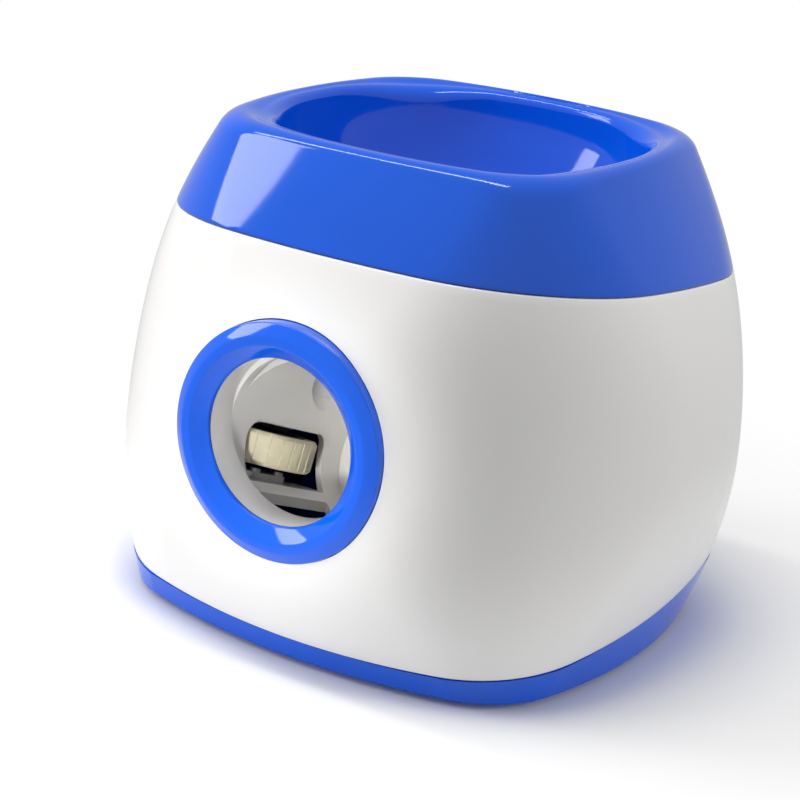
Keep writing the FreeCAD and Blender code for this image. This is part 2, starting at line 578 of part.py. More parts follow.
def feed_gate():
    """Finger that swings across the chute and lets one ball by."""
    base = V(GATE_PIVOT.x, GATE_PIVOT.y, GATE_Z)
    finger = box(GATE_PIVOT_X - GATE_REACH + GATE_HALF, GATE_PIVOT_X,
                 OUTLET_Y - GATE_HALF, OUTLET_Y + GATE_HALF,
                 GATE_Z, GATE_Z + GATE_THICK)
    tip = cylinder(GATE_HALF, GATE_THICK, V(GATE_PIVOT_X - GATE_REACH + GATE_HALF, OUTLET_Y, GATE_Z))
    gate = finger.fuse(tip).fuse(cylinder(GATE_HALF, GATE_THICK, base))
    gate = gate.fuse(cylinder(4.5, 3.0, base + V(0, 0, GATE_THICK)))
    window = box(GATE_PIVOT_X - 26, GATE_PIVOT_X - 14, OUTLET_Y - 3, OUTLET_Y + 3, GATE_Z - 1, GATE_Z + 5)
    return gate.cut(window).cut(cylinder(PIN_R, 20, base - V(0, 0, 5)))


def gate_shaft():
    base = V(GATE_PIVOT.x, GATE_PIVOT.y, GEAR_PLATE_Z - 3.5)
    return cylinder(PIN_R - 0.02, GATE_Z + GATE_THICK + 4.5 - base.z, base)


def gate_gear():
    base = V(GATE_PIVOT.x, GATE_PIVOT.y, UPPER_GEAR_Z)
    gear = involute_gear(WHEEL_TEETH, GEAR_WIDTH, base, REDUCER_BEARING, PIN_R)
    return gear.fuse(tube(4.5, PIN_R, GATE_Z - UPPER_GEAR_Z - GEAR_WIDTH, base + V(0, 0, GEAR_WIDTH)))


def reducer_gear():
    """Large wheel with a small pinion above it, in one moulding."""
    low = V(REDUCER.x, REDUCER.y, LOWER_GEAR_Z)
    bore = PIN_R + RUN_FIT
    large = involute_gear(WHEEL_TEETH, GEAR_WIDTH, low, MOTOR_BEARING, bore)
    gap_turn = REDUCER_BEARING + 180 + 180.0 / PINION_TEETH
    small = involute_gear(PINION_TEETH, UPPER_GEAR_Z + GEAR_WIDTH - LOWER_GEAR_Z, low, gap_turn, bore)
    return large.fuse(small)


def reducer_pin():
    base = V(REDUCER.x, REDUCER.y, GEAR_PLATE_Z)
    pin = cylinder(PIN_R, UPPER_GEAR_Z + GEAR_WIDTH + 1.5 - GEAR_PLATE_Z, base)
    return pin.fuse(cylinder(PIN_R + 1.2, 1.2, V(base.x, base.y, UPPER_GEAR_Z + GEAR_WIDTH + 0.3)))


def motor_pinion():
    base = V(FEED_MOTOR.x, FEED_MOTOR.y, LOWER_GEAR_Z)
    gap_turn = MOTOR_BEARING + 180 + 180.0 / PINION_TEETH
    return involute_gear(PINION_TEETH, GEAR_WIDTH, base, gap_turn, PINION_SHAFT_R)


def feed_motor():
    """Small flat-sided motor under the gear plate."""
    top = V(FEED_MOTOR.x, FEED_MOTOR.y, GEAR_PLATE_Z)
    can = cylinder(10.0, 25.0, top - V(0, 0, 25.0))
    can = can.common(box(top.x - 20, top.x + 20, top.y - 7.6, top.y + 7.6, 0, 200))
    can = can.fuse(cylinder(3.0, 1.4, top)).fuse(cylinder(6.0, 2.0, top - V(0, 0, 27.0)))
    return can.cut(cylinder(PINION_SHAFT_R + RUN_FIT, 20, top - V(0, 0, 12)))


def pinion_shaft():
    base = V(FEED_MOTOR.x, FEED_MOTOR.y, GEAR_PLATE_Z - 10)
    return cylinder(PINION_SHAFT_R - 0.02, LOWER_GEAR_Z + GEAR_WIDTH + 0.6 - base.z, base)


def gear_plate():
    """Plate that carries the gate shaft, the reducer pin and the feed motor."""
    z = GEAR_PLATE_Z
    spots = [(GATE_PIVOT, 11.0), (REDUCER, 7.0), (FEED_MOTOR, 11.5)]
    plate = joined([cylinder(r, PLATE, V(p.x, p.y, z)) for p, r in spots])
    for first, second in zip(spots, spots[1:]):
        ends = []
        for (p, r), other in ((first, second[0]), (second, first[0])):
            along = (V(other.x, other.y, 0) - V(p.x, p.y, 0)).normalize()
            square = V(-along.y, along.x, 0) * min(first[1], second[1])
            ends += [V(p.x, p.y, z) + square, V(p.x, p.y, z) - square]
        plate = plate.fuse(Part.Face(Part.makePolygon(ends + [ends[0]])).extrude(V(0, 0, PLATE)))
    wing = box(ARM_SCREWS[0] - 4, GATE_PIVOT_X + 8, OUTLET_Y - 11, OUTLET_Y + 2, z, z + PLATE)
    plate = plate.fuse(wing)
    for x in ARM_SCREWS:
        plate = plate.cut(cylinder(SCREW_R + 0.1, 6, V(x, OUTLET_Y - 7, z - 1)))
    plate = plate.cut(cylinder(PIN_R + RUN_FIT, 6, V(GATE_PIVOT.x, GATE_PIVOT.y, z - 1)))
    plate = plate.cut(cylinder(3.0 + 0.05, 6, V(FEED_MOTOR.x, FEED_MOTOR.y, z - 1)))
    return plate.cut(cylinder(PIN_R, PLATE, V(REDUCER.x, REDUCER.y, z)))


def rear_panel():
    """Flat panel sunk in a well of the back wall."""
    low, high = PANEL_Z - PANEL_HALF_H, PANEL_Z + PANEL_HALF_H
    face, back = PANEL_FACE_Y, PANEL_FACE_Y - PANEL_THICK
    gap = SEAM_GAP
    collar = box(-PANEL_HALF_W + gap, PANEL_HALF_W - gap, back, 130, low + gap, high - gap)
    collar = collar.cut(box(-PANEL_HALF_W + 2, PANEL_HALF_W - 2, face, 131, low + 2, high - 2))
    panel = collar.common(form(0.6))
    for x0 in (-PANEL_HALF_W, PANEL_HALF_W - 6):
        tab = box(x0, x0 + 6, back - 4, back, PANEL_Z - 8, PANEL_Z + 8)
        tab.translate(V(-1.5 if x0 < 0 else 1.5, 0, 0))
        panel = panel.fuse(tab)
    w, h = SWITCH_W / 2, SWITCH_H / 2
    panel = panel.cut(box(SWITCH_X - w, SWITCH_X + w, back - 1, face + 1, SWITCH_Z - h, SWITCH_Z + h))
    panel = panel.cut(cylinder(BUTTON_R + 0.25, 20, V(BUTTON_X, back - 5, BUTTON_Z), Y_AXIS))
    panel = panel.cut(cylinder(JACK_R, 20, V(JACK_X, back - 5, JACK_Z), Y_AXIS))
    for k in range(3):
        panel = panel.cut(cylinder(LENS_R, 20, V(LENS_X, back - 5, LENS_Z[k]), Y_AXIS))
    return panel


def power_switch():
    """Rocker housing snapped into the panel from behind."""
    face, back = PANEL_FACE_Y, PANEL_FACE_Y - PANEL_THICK

    def block(grow, y0, y1):
        w, h = SWITCH_W / 2 + grow, SWITCH_H / 2 + grow
        return box(SWITCH_X - w, SWITCH_X + w, y0, y1, SWITCH_Z - h, SWITCH_Z + h)

    body = block(-0.05, back - 12, face).fuse(block(SWITCH_WALL, face, face + SWITCH_WALL))
    body = body.cut(block(-SWITCH_WALL, back - 7, face + 3))
    pin_base = V(SWITCH_X - SWITCH_W / 2 + 1, ROCKER_PIVOT_Y, SWITCH_Z)
    body = body.fuse(cylinder(ROCKER_PIN_R, SWITCH_W - 2, pin_base, X_AXIS))
    for x in (SWITCH_X - 4, SWITCH_X + 4):
        body = body.fuse(box(x - 0.4, x + 0.4, back - 19, back - 11, SWITCH_Z - 2, SWITCH_Z + 2))
    return body


def power_rocker():
    """Rocker paddle with a raised end, turned on its pin."""
    w = SWITCH_W / 2 - SWITCH_WALL - SEAM_GAP
    h = SWITCH_H / 2 - SWITCH_WALL - ROCKER_ROOM
    y = ROCKER_PIVOT_Y
    top = PANEL_FACE_Y + 3.0
    points = [V(0, y - 2.6, SWITCH_Z - 3), V(0, top - 2.6, SWITCH_Z - h), V(0, top - 1.6, SWITCH_Z),
              V(0, top, SWITCH_Z + h), V(0, y - 2.6, SWITCH_Z + 3)]
    rocker = Part.Face(Part.makePolygon(points + [points[0]])).extrude(V(2 * w, 0, 0))
    rocker.translate(V(SWITCH_X - w, 0, 0))
    return rocker.cut(cylinder(ROCKER_PIN_R + RUN_FIT, 4 * w, V(SWITCH_X - 2 * w, y, SWITCH_Z), X_AXIS))


def range_button():
    """Round button with a stem that reaches the board's switch."""
    back = PANEL_FACE_Y - PANEL_THICK
    cap = cylinder(BUTTON_R, PANEL_FACE_Y + 2.5 - back + 2, V(BUTTON_X, back - 2, BUTTON_Z), Y_AXIS)
    rim = [e for e in cap.Edges if e.BoundBox.YMin > PANEL_FACE_Y + 2]
    cap = cap.makeFillet(1.0, rim)
    cap = cap.fuse(cylinder(BUTTON_R + 1.2, 1.2, V(BUTTON_X, back - 2 - 0.9, BUTTON_Z), Y_AXIS))
    stem_end = BOARD_FACE_Y + 3.4 + BUTTON_TRAVEL
    return cap.fuse(cylinder(2.0, back - 2 - stem_end, V(BUTTON_X, stem_end, BUTTON_Z), Y_AXIS))


def indicator_lenses():
    lenses = []
    for z in LENS_Z:
        lens = cylinder(LENS_R - 0.03, PANEL_THICK + 0.8, V(LENS_X, PANEL_FACE_Y - PANEL_THICK, z), Y_AXIS)
        lens = lens.fuse(cylinder(LENS_R + 0.8, 1.0, V(LENS_X, PANEL_FACE_Y - PANEL_THICK - 1.0, z), Y_AXIS))
        lenses.append(lens)
    return Part.makeCompound(lenses)


def dc_jack():
    """Round power inlet with a centre pin."""
    back = PANEL_FACE_Y - PANEL_THICK
    jack = cylinder(JACK_R - 0.05, PANEL_THICK + 1.2, V(JACK_X, back, JACK_Z), Y_AXIS)
    jack = jack.fuse(tube(JACK_R + 1.2, JACK_R - 0.5, 0.9, V(JACK_X, PANEL_FACE_Y, JACK_Z), Y_AXIS))
    jack = jack.fuse(box(JACK_X - 5, JACK_X + 5, back - 9, back, JACK_Z - 5, JACK_Z + 5))
    jack = jack.cut(cylinder(2.75, 11, V(JACK_X, back - 6, JACK_Z), Y_AXIS))
    return jack.fuse(cylinder(1.05, 7.5, V(JACK_X, back - 6.5, JACK_Z), Y_AXIS))


def control_board():
    """Board on four stand-offs behind the panel, with its parts."""
    board = box(BOARD_X0, BOARD_X1, BOARD_FACE_Y - 1.6, BOARD_FACE_Y, BOARD_Z0, BOARD_Z1)
    for spot in BOARD_POSTS:
        board = board.cut(cylinder(SCREW_R, 4, V(spot.x, BOARD_FACE_Y - 3, spot.z), Y_AXIS))
    key = 3.0
    board = board.fuse(box(BUTTON_X - key, BUTTON_X + key, BOARD_FACE_Y, BOARD_FACE_Y + key,
                           BUTTON_Z - key, BUTTON_Z + key))
    board = board.fuse(box(20, 30, BOARD_FACE_Y - 3.4, BOARD_FACE_Y - 1.5, 70, 80))
    for x, z, r, h in ((9, 66, 3.2, 9), (9, 76, 3.2, 9), (18, 87, 2.5, 6)):
        board = board.fuse(cylinder(r, h + 0.2, V(x, BOARD_FACE_Y - 1.4, z), Y_AXIS * -1))
    return board.fuse(box(18, 30, BOARD_FACE_Y - 8, BOARD_FACE_Y - 1.5, 58, 63))


def panel_posts():
    """Stand-offs of the panel that the board is screwed to."""
    posts = []
    for spot in BOARD_POSTS:
        length = PANEL_FACE_Y - PANEL_THICK + 0.5 - BOARD_FACE_Y
        post = cylinder(2.6, length, V(spot.x, BOARD_FACE_Y, spot.z), Y_AXIS)
        posts.append(post.cut(cylinder(SCREW_R - 0.4, 6, V(spot.x, BOARD_FACE_Y - 1, spot.z), Y_AXIS)))
    return posts


def board_screws():
    screws = []
    for spot in BOARD_POSTS:
        base = V(spot.x, BOARD_FACE_Y - 1.6, spot.z)
        head = cylinder(2.4, 1.4, base, Y_AXIS * -1)
        screws.append(head.fuse(cylinder(SCREW_R - 0.45, 6.2, base - V(0, 0.5, 0), Y_AXIS)))
    return Part.makeCompound(screws)


def ball_switch():
    """Micro switch under the barrel, on two pads of its wall."""
    top = -BARREL_OUTER_R - LEVER_ROOM
    body = box(-3.2, 3.2, BALL_REST - 12, BALL_REST + 12, top - 10, top)
    body = body.fuse(box(-3.2, 3.2, BALL_REST + 8.5, BALL_REST + 12, top - 1, -BARREL_OUTER_R + 0.6))
    body = body.cut(cylinder(BARREL_OUTER_R + 0.02, 200, V(0, -50, 0), Y_AXIS))
    body = body.fuse(cylinder(0.8, 6.4, V(-3.2, LEVER_PIVOT_Y, LEVER_PIVOT_Z), X_AXIS))
    body = body.fuse(box(-3.2, -2.4, LEVER_PIVOT_Y - 1.5, LEVER_PIVOT_Y + 1.5, top - 1, LEVER_PIVOT_Z + 1.2))
    body = body.fuse(box(2.4, 3.2, LEVER_PIVOT_Y - 1.5, LEVER_PIVOT_Y + 1.5, top - 1, LEVER_PIVOT_Z + 1.2))
    for k in range(3):
        y = BALL_REST - 9 + 7 * k
        body = body.fuse(box(-1.2, 1.2, y, y + 0.6, top - 15, top - 9))
    return in_barrel(body)


def switch_lever():
    """Bent lever that the waiting ball presses down."""
    y, z = LEVER_PIVOT_Y, LEVER_PIVOT_Z
    half = 1.9
    points = [V(-half, y - 1.4, z - 0.4), V(-half, y - 14, z + 1.6), V(-half, y - 18, z + 6.6),
              V(-half, y - 19, z + 6.2), V(-half, y - 14.6, z + 0.5), V(-half, y - 1.4, z - 1.3)]
    lever = Part.Face(Part.makePolygon(points + [points[0]])).extrude(V(2 * half, 0, 0))
    lever = lever.fuse(cylinder(1.7, 2 * half, V(-half, y, z), X_AXIS))
    return in_barrel(lever.cut(cylinder(0.8 + RUN_FIT, 3 * half, V(-1.5 * half, y, z), X_AXIS)))


def battery_contacts():
    """Spring strips on the two end walls of the battery bay."""
    strips = []
    for sign in SIDES.values():
        for k in range(3):
            y = BAY_FRONT_Y + CELL_ROOM / 2 + CELL_R + 2 * CELL_R * k
            plate = box(CELL_BAY_X - 0.6, CELL_BAY_X, y - 7, y + 7, FLOOR_TOP + 4, BAY_TOP - 5)
            bump = cylinder(4.0, 0.8, V(CELL_BAY_X - 1.3, y, FLOOR_TOP + CELL_R + CELL_ROOM / 2), X_AXIS)
            strip = plate.fuse(bump)
            strips.append(strip if sign > 0 else strip.mirror(ZERO, X_AXIS))
    return Part.makeCompound(strips)


def rubber_feet():
    feet = []
    for foot in FEET:
        pad = cylinder(FOOT_R, FOOT_HEIGHT + 0.95, V(foot.x, foot.y, 0))
        sole = [e for e in pad.Edges if e.BoundBox.ZMax < 0.01]
        feet.append(pad.makeFillet(0.8, sole))
    return Part.makeCompound(feet)


def base_screws():
    screws = []
    for post in BASE_POSTS:
        base = V(post.x, post.y, BASE_Z + HEAD_H + 0.2)
        screws.append(screw(base, V(0, 0, -1), BASE_POST_TOP + 12 - base.z))
    return Part.makeCompound(screws)


def cap_screws():
    screws = []
    for post in CAP_POSTS:
        screws.append(screw(V(post.x, post.y, EAR_Z), V(0, 0, -1), 12))
    return Part.makeCompound(screws)


def barrel_screws():
    screws = []
    for foot in BARREL_FEET:
        shank = cylinder(SCREW_R - 0.05, 17, V(foot.x, foot.y, BARREL_FOOT_Z - 7))
        screws.append(shank)
    return Part.makeCompound(screws)


def plate_screws():
    screws = []
    for x in ARM_SCREWS:
        screws.append(screw(V(x, OUTLET_Y - 7, GEAR_PLATE_Z + PLATE), Z_AXIS, 5))
    return Part.makeCompound(screws)


# Sizes that follow from the ones above and are shared by the mechanism's pieces.
RING_SEAT_R = RING_OUTER_R - 4.0
RING_SEAT_Y = PORT_PLANE_Y + 8.0
RING_BACK_Y = RING_SEAT_Y + 5.0
MOUTH_Y = RING_BACK_Y + SEAM_GAP
MOUTH_R = RING_SEAT_R - 0.5
WHEEL_MID = -BALL_DROP
WINDOW_FRONT = WHEEL_STATION - 27.5
WINDOW_BACK = WHEEL_STATION + 27.0
WINDOW_TOP = WHEEL_MID + 9.5
WINDOW_LOW = {"left": -31.0, "right": -22.0}
SHELF_TOP = WHEEL_MID - WHEEL_WIDTH / 2 - 5.5
SHELF_END = 40.0
BALL_REST = BARREL_LENGTH - BALL_R
BARREL_AXIS_Z = barrel_point(0, BALL_REST, 0).z
CHUTE_R = OUTLET_R + 2.4
NECK_R = OUTLET_R + OUTLET_STEP + BOWL_WALL + 1.0
SLOT_ROOM = 0.6
GATE_HALF = 8.0
PIN_R = 2.0
PINION_SHAFT_R = 1.0
ARM_SCREWS = (36.5, 54.0)
LOWER_GEAR_Z = GEAR_PLATE_Z + PLATE + 0.6
UPPER_GEAR_Z = LOWER_GEAR_Z + GEAR_WIDTH + 0.5
SWITCH_X, SWITCH_Z = -26.0, 80.0
SWITCH_W, SWITCH_H = 13.0, 19.0
SWITCH_WALL = 1.5
ROCKER_PIN_R = 1.0
ROCKER_ROOM = 1.4
ROCKER_PIVOT_Y = PANEL_FACE_Y - 1.5
BUTTON_X, BUTTON_Z, BUTTON_R = 20.0, 82.0, 6.0
JACK_X, JACK_Z, JACK_R = -26.0, 60.5, 4.2
LENS_X, LENS_R = 34.0, 1.6
LENS_Z = (64.0, 74.0, 84.0)
BOARD_FACE_Y = 88.0
BOARD_X0, BOARD_X1, BOARD_Z0, BOARD_Z1 = 0.0, 40.0, 56.0, 92.0
BOARD_POSTS = [V(x, 0, z) for x in (3.0, 37.0) for z in (59.0, 89.0)]
LEVER_ROOM = 2.6
LEVER_PIVOT_Y = BALL_REST + 6.0
LEVER_PIVOT_Z = -BARREL_OUTER_R - 0.2

save(base_pan(), "base_pan")
save(battery_door(), "battery_door")
save(body_shell(), "body_shell")
save(hopper(), "hopper")
save(port_ring(), "port_ring")
save(launch_barrel(), "launch_barrel")
save(feed_chute(), "feed_chute")
for side, sign in SIDES.items():
    save(flywheel_hub(sign), "flywheel_hub_" + side)
    save(flywheel_tread(sign), "flywheel_tread_" + side)
    save(drive_motor(sign), "drive_motor_" + side)
    save(motor_shaft(sign), "motor_shaft_" + side)
    save(motor_plate(sign), "motor_plate_" + side)
save(motor_screws(), "motor_screws")
save(feed_gate(), "feed_gate")
save(gate_shaft(), "gate_shaft")
save(gate_gear(), "gate_gear")
save(reducer_gear(), "reducer_gear")
save(reducer_pin(), "reducer_pin")
save(motor_pinion(), "motor_pinion")
save(pinion_shaft(), "pinion_shaft")
save(feed_motor(), "feed_motor")
save(gear_plate(), "gear_plate")
save(joined([rear_panel()] + panel_posts()), "rear_panel")
save(power_switch(), "power_switch")
save(power_rocker(), "power_rocker")
save(range_button(), "range_button")
save(indicator_lenses(), "indicator_lenses")
save(dc_jack(), "dc_jack")
save(control_board(), "control_board")
save(board_screws(), "board_screws")
save(ball_switch(), "ball_switch")
save(switch_lever(), "switch_lever")
save(battery_contacts(), "battery_contacts")
save(rubber_feet(), "rubber_feet")
save(base_screws(), "base_screws")
save(cap_screws(), "cap_screws")
save(barrel_screws(), "barrel_screws")
save(plate_screws(), "plate_screws")
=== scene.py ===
# %% [markdown]
# A ball launcher for dogs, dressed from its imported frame.
# The frame holds every piece of the machine at its real size and place. This lesson keeps the
# pieces that are already right, gives each a finish, and models the large glossy skins again as
# smooth meshes, because a gloss shows every facet of a coarse one.

# %% Load the frame
import bpy
import bmesh
import json
import math
from mathutils import Matrix, Vector


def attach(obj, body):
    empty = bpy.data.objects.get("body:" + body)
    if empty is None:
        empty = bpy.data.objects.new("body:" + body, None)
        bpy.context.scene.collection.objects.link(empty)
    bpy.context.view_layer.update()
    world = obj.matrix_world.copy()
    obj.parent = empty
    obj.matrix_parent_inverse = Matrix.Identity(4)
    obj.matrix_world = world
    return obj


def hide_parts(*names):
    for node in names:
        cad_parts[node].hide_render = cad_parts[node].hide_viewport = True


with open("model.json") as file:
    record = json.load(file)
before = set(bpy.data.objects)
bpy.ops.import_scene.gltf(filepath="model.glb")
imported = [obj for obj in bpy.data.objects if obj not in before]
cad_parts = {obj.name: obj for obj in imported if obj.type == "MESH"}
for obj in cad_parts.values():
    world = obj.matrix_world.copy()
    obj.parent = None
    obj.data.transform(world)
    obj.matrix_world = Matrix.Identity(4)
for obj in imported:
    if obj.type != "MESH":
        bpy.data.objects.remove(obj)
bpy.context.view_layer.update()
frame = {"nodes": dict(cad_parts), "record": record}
MM = 0.001

# %% [markdown]
# The casing is a soft square drum, moulded in ABS. Its outline is set by a few level sections. Each
# has a half width in millimetres, and the radii of its corners and of its crowned sides as shares
# of that half width. One smooth curve through them gives every height between, so the wall has no
# breaks that a gloss would show.

# %% Sizes of the casing
STATIONS = {
    "half": ((0, 97.8), (40, 109.2), (80, 114.8), (120, 109.0), (160, 91.4), (200, 68.4)),
    "corner": ((0, 0.38), (40, 0.68), (80, 0.87), (120, 0.85), (160, 0.61), (200, 0.27)),
    "crown": ((0, 2.09), (40, 2.29), (80, 2.49), (120, 2.69), (160, 2.89), (200, 3.09)),
}
DEPTH_SHARE = 0.956


def smooth_value(table, where):
    """The polynomial through a table of places and values."""
    total = 0.0
    for place, value in table:
        share = 1.0
        for other, _ in table:
            if other != place:
                share *= (where - other) / (place - other)
        total += value * share
    return total


print("half width at the bottom in mm", round(smooth_value(STATIONS["half"], 0), 1))

# %% [markdown]
# One section has four shallow crowned sides and four corner arcs, tangent where they meet. It could
# be drawn as eight arcs, but a ring of points at even directions is easier to stack. So the ray from
# the middle is cut with the arc that lies in its direction.

# %% Find the wall in a direction


def section_radius(turn, half_x, half_y, crown, corner):
    """Distance from the middle to the section's edge in the direction of turn."""
    way = Vector((abs(math.cos(turn)), abs(math.sin(turn))))
    side = Vector((half_x - crown, 0.0))
    front = Vector((0.0, half_y - crown))
    reach = crown - corner
    gap = side - front
    across = Vector((-gap.y, gap.x)).normalized()
    across = across if across.x > 0 else -across
    nub = (side + front) / 2 + across * math.sqrt(reach ** 2 - (gap.length / 2) ** 2)
    low = side + (nub - side).normalized() * crown
    high = front + (nub - front).normalized() * crown
    bearing = math.atan2(way.y, way.x)
    if bearing < math.atan2(low.y, low.x):
        middle, radius = side, crown
    elif bearing > math.atan2(high.y, high.x):
        middle, radius = front, crown
    else:
        middle, radius = nub, corner
    along = way.dot(middle)
    return along + math.sqrt(along ** 2 - middle.length_squared + radius ** 2)


def casing_radius(turn, z, inset=0.0):
    """Distance from the middle to the casing's wall at a height, drawn in by inset."""
    half = smooth_value(STATIONS["half"], z)
    corner = smooth_value(STATIONS["corner"], z) * half
    crown = smooth_value(STATIONS["crown"], z) * half
    return section_radius(turn, half - inset, half * DEPTH_SHARE - inset, crown - inset, corner - inset)


FULLEST = 80
print("casing is", round(2 * casing_radius(0, FULLEST), 1), "mm wide at its fullest")

# %% [markdown]
# The casing parts along two seams, and its rim is cut along a third plane. None of them is level:
# each is a height on the middle line and a rise per millimetre towards the back. A point on a seam
# depends on its own height, so it is found in a few rounds, each closer than the last.

# %% Seams and rim
BASE_SEAM = (21.9, 0.122)
CAP_SEAM = (144.8, -0.061)
RIM = (186.9, 0.032)
SEAM_GAP = 0.3
WALL = 2.5
ROUNDS = 6


def on_casing(turn, plane, lift=0.0, inset=0.0):
    """The point of the casing wall on a seam plane, in millimetres."""
    height, rise = plane
    z = height
    for _ in range(ROUNDS):
        radius = casing_radius(turn, z + lift, inset)
        z = height + rise * radius * math.sin(turn)
    return Vector((radius * math.cos(turn), radius * math.sin(turn), z + lift))


def between(low, high, share):
    """A plane part of the way from one seam plane to another."""
    return tuple(a + (b - a) * share for a, b in zip(low, high))


print("rim is", round(on_casing(math.pi / 2, RIM).z, 1), "mm high at the back")

# %% [markdown]
# A moulded shell is easiest to make as a stack of rings. A circle is extruded edge by edge, and
# each new ring is laid on its section. Every vertex remembers its direction in a layer of its own,
# which extruding copies, so a ring can always be found again. The last ring is bridged to the
# first, which closes the wall.

# %% Make a shell from rings
AROUND = 256


def ringed_shell(rings):
    """Stack rings, each a function from a direction to a point in millimetres."""
    bm = bmesh.new()
    turns = bm.verts.layers.float.new("turn")
    verts = bmesh.ops.create_circle(bm, segments=AROUND, radius=1.0)["verts"]
    for vert in verts:
        vert[turns] = math.atan2(vert.co.y, vert.co.x)
    first_edges = list(bm.edges)
    edges = first_edges
    for vert in verts:
        vert.co = rings[0](vert[turns]) * MM
    for ring in rings[1:]:
        made = bmesh.ops.extrude_edge_only(bm, edges=edges)["geom"]
        verts = [g for g in made if isinstance(g, bmesh.types.BMVert)]
        edges = [g for g in made if isinstance(g, bmesh.types.BMEdge)]
        for vert in verts:
            vert.co = ring(vert[turns]) * MM
    bmesh.ops.bridge_loops(bm, edges=first_edges + edges)
    bmesh.ops.recalc_face_normals(bm, faces=bm.faces)
    return bm


print("each ring has", AROUND, "points")

# %% [markdown]
# Every new piece ends the same way. It becomes a mesh, its faces are shaded smooth except across sharp edges,
# and it is told which body it rides on.

# %% End a piece


def finished(name, bm, body, sharp):
    """Turn a bmesh into a piece that rides on a body."""
    mesh = bpy.data.meshes.new(name)
    bm.to_mesh(mesh)
    bm.free()
    piece = bpy.data.objects.new(name, mesh)
    bpy.context.scene.collection.objects.link(piece)
    mesh.shade_smooth()
    mesh.set_sharp_from_angle(angle=math.radians(sharp))
    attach(piece, body)
    print(name, len(mesh.polygons), "faces")
    return piece


# %% [markdown]
# A shell's edge could be left square, but a moulded one carries a small radius, and that radius
# catches the light along the seam. Four rings turn the wall over it in steps of 30 degrees. The
# rings up the wall lie on planes that turn evenly from one seam into the other.

# %% Edges and walls
EDGE = 0.6
EDGE_BENDS = (90, 60, 30, 0)


def rounded_edge(plane, up):
    """Rings that turn the wall over a small edge; up is 1 for a top edge, -1 for a bottom one."""
    rings = []
    for bend in EDGE_BENDS:
        drawn_in = EDGE * (1 - math.sin(math.radians(bend)))
        lift = -up * EDGE * (1 - math.cos(math.radians(bend)))
        rings.append(lambda turn, lift=lift, drawn_in=drawn_in: on_casing(turn, plane, lift, drawn_in))
    return rings


def skin_rings(low, high, steps, inset=0.0):
    """Rings along a wall from one seam plane to another, ends left out."""
    planes = [between(low, high, k / steps) for k in range(1, steps)]
    return [lambda turn, plane=plane: on_casing(turn, plane, 0.0, inset) for plane in planes]


print("seam edges have a radius of", EDGE, "mm")

# %% [markdown]
# The drum is the white shell between the two seams. It is one stack of rings: over the lower edge,
# up the outside, over the upper edge and down the inside. The outside has many rings because it is
# seen, and the inside has few.

# %% The white drum
SKIN_STEPS = 44
INSIDE_STEPS = 8
SHELL_SHARP = 35.0


def drum():
    """The shell between the seams, before the port and the rear well are cut."""
    low = (BASE_SEAM[0] + SEAM_GAP, BASE_SEAM[1])
    rings = [lambda turn: on_casing(turn, low, 0.0, WALL)]
    rings += reversed(rounded_edge(low, -1))
    rings += skin_rings(low, CAP_SEAM, SKIN_STEPS)
    rings += rounded_edge(CAP_SEAM, 1)
    rings.append(lambda turn: on_casing(turn, CAP_SEAM, 0.0, WALL))
    rings += skin_rings(CAP_SEAM, low, INSIDE_STEPS, WALL)
    return finished("drum_skin", ringed_shell(rings), "casing", SHELL_SHARP)


drum_skin = drum()

# %% [markdown]
# The drum is open at the front for the port ring and at the back for the panel. Both openings are
# cut with a Boolean, which leaves clean edges whatever the rings do there, and both cutters are
# plain shapes: a cylinder and a box.

# %% Cut the port and the rear well
PORT = Vector((0.0, -104.4, 85.4))
RING_OUTER = 42.8
CUT_DEPTH = 60
CUT_STEPS = 160
WELL_HALF_W = 44.0
WELL_HALF_H = 23.0
WELL_MIDDLE = Vector((0, 110, 74.0))
FACING_OUT = Matrix.Rotation(math.pi / 2, 4, "X")


def cut_out(piece, cutter_bm):
    """Take a closed shape out of a piece."""
    mesh = bpy.data.meshes.new("cutter")
    cutter_bm.to_mesh(mesh)
    cutter_bm.free()
    cutter = bpy.data.objects.new("cutter", mesh)
    bpy.context.scene.collection.objects.link(cutter)
    knife = piece.modifiers.new("cut", "BOOLEAN")
    knife.operation = "DIFFERENCE"
    knife.solver = "EXACT"
    knife.object = cutter
    seen = piece.evaluated_get(bpy.context.evaluated_depsgraph_get())
    result = bpy.data.meshes.new_from_object(seen)
    piece.modifiers.clear()
    uncut = piece.data
    piece.data = result
    bpy.data.meshes.remove(uncut)
    bpy.data.objects.remove(cutter)
    bpy.data.meshes.remove(mesh)
    result.shade_smooth()
    result.set_sharp_from_angle(angle=math.radians(SHELL_SHARP))
    print(piece.name, len(result.polygons), "faces after the cut")


port_cutter = bmesh.new()
bmesh.ops.create_cone(port_cutter, cap_ends=True, segments=CUT_STEPS, radius1=(RING_OUTER + SEAM_GAP) * MM,
                      radius2=(RING_OUTER + SEAM_GAP) * MM, depth=CUT_DEPTH * MM,
                      matrix=Matrix.Translation(PORT * MM) @ FACING_OUT)
cut_out(drum_skin, port_cutter)
well_cutter = bmesh.new()
bmesh.ops.create_cube(well_cutter, size=1.0)
bmesh.ops.scale(well_cutter, vec=Vector((2 * WELL_HALF_W, CUT_DEPTH, 2 * WELL_HALF_H)) * MM,
                verts=well_cutter.verts)
bmesh.ops.translate(well_cutter, vec=WELL_MIDDLE * MM, verts=well_cutter.verts)
cut_out(drum_skin, well_cutter)
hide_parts("body_shell")

# %% [markdown]
# The bowl is nearly round at the rim and quite round at its outlet, which is off the middle. It
# could be a piece of its own, but the cap is one moulding, so the bowl's wall belongs to the same
# stack of rings as the rim. Five sections set it, and a smooth curve through them gives the rest.

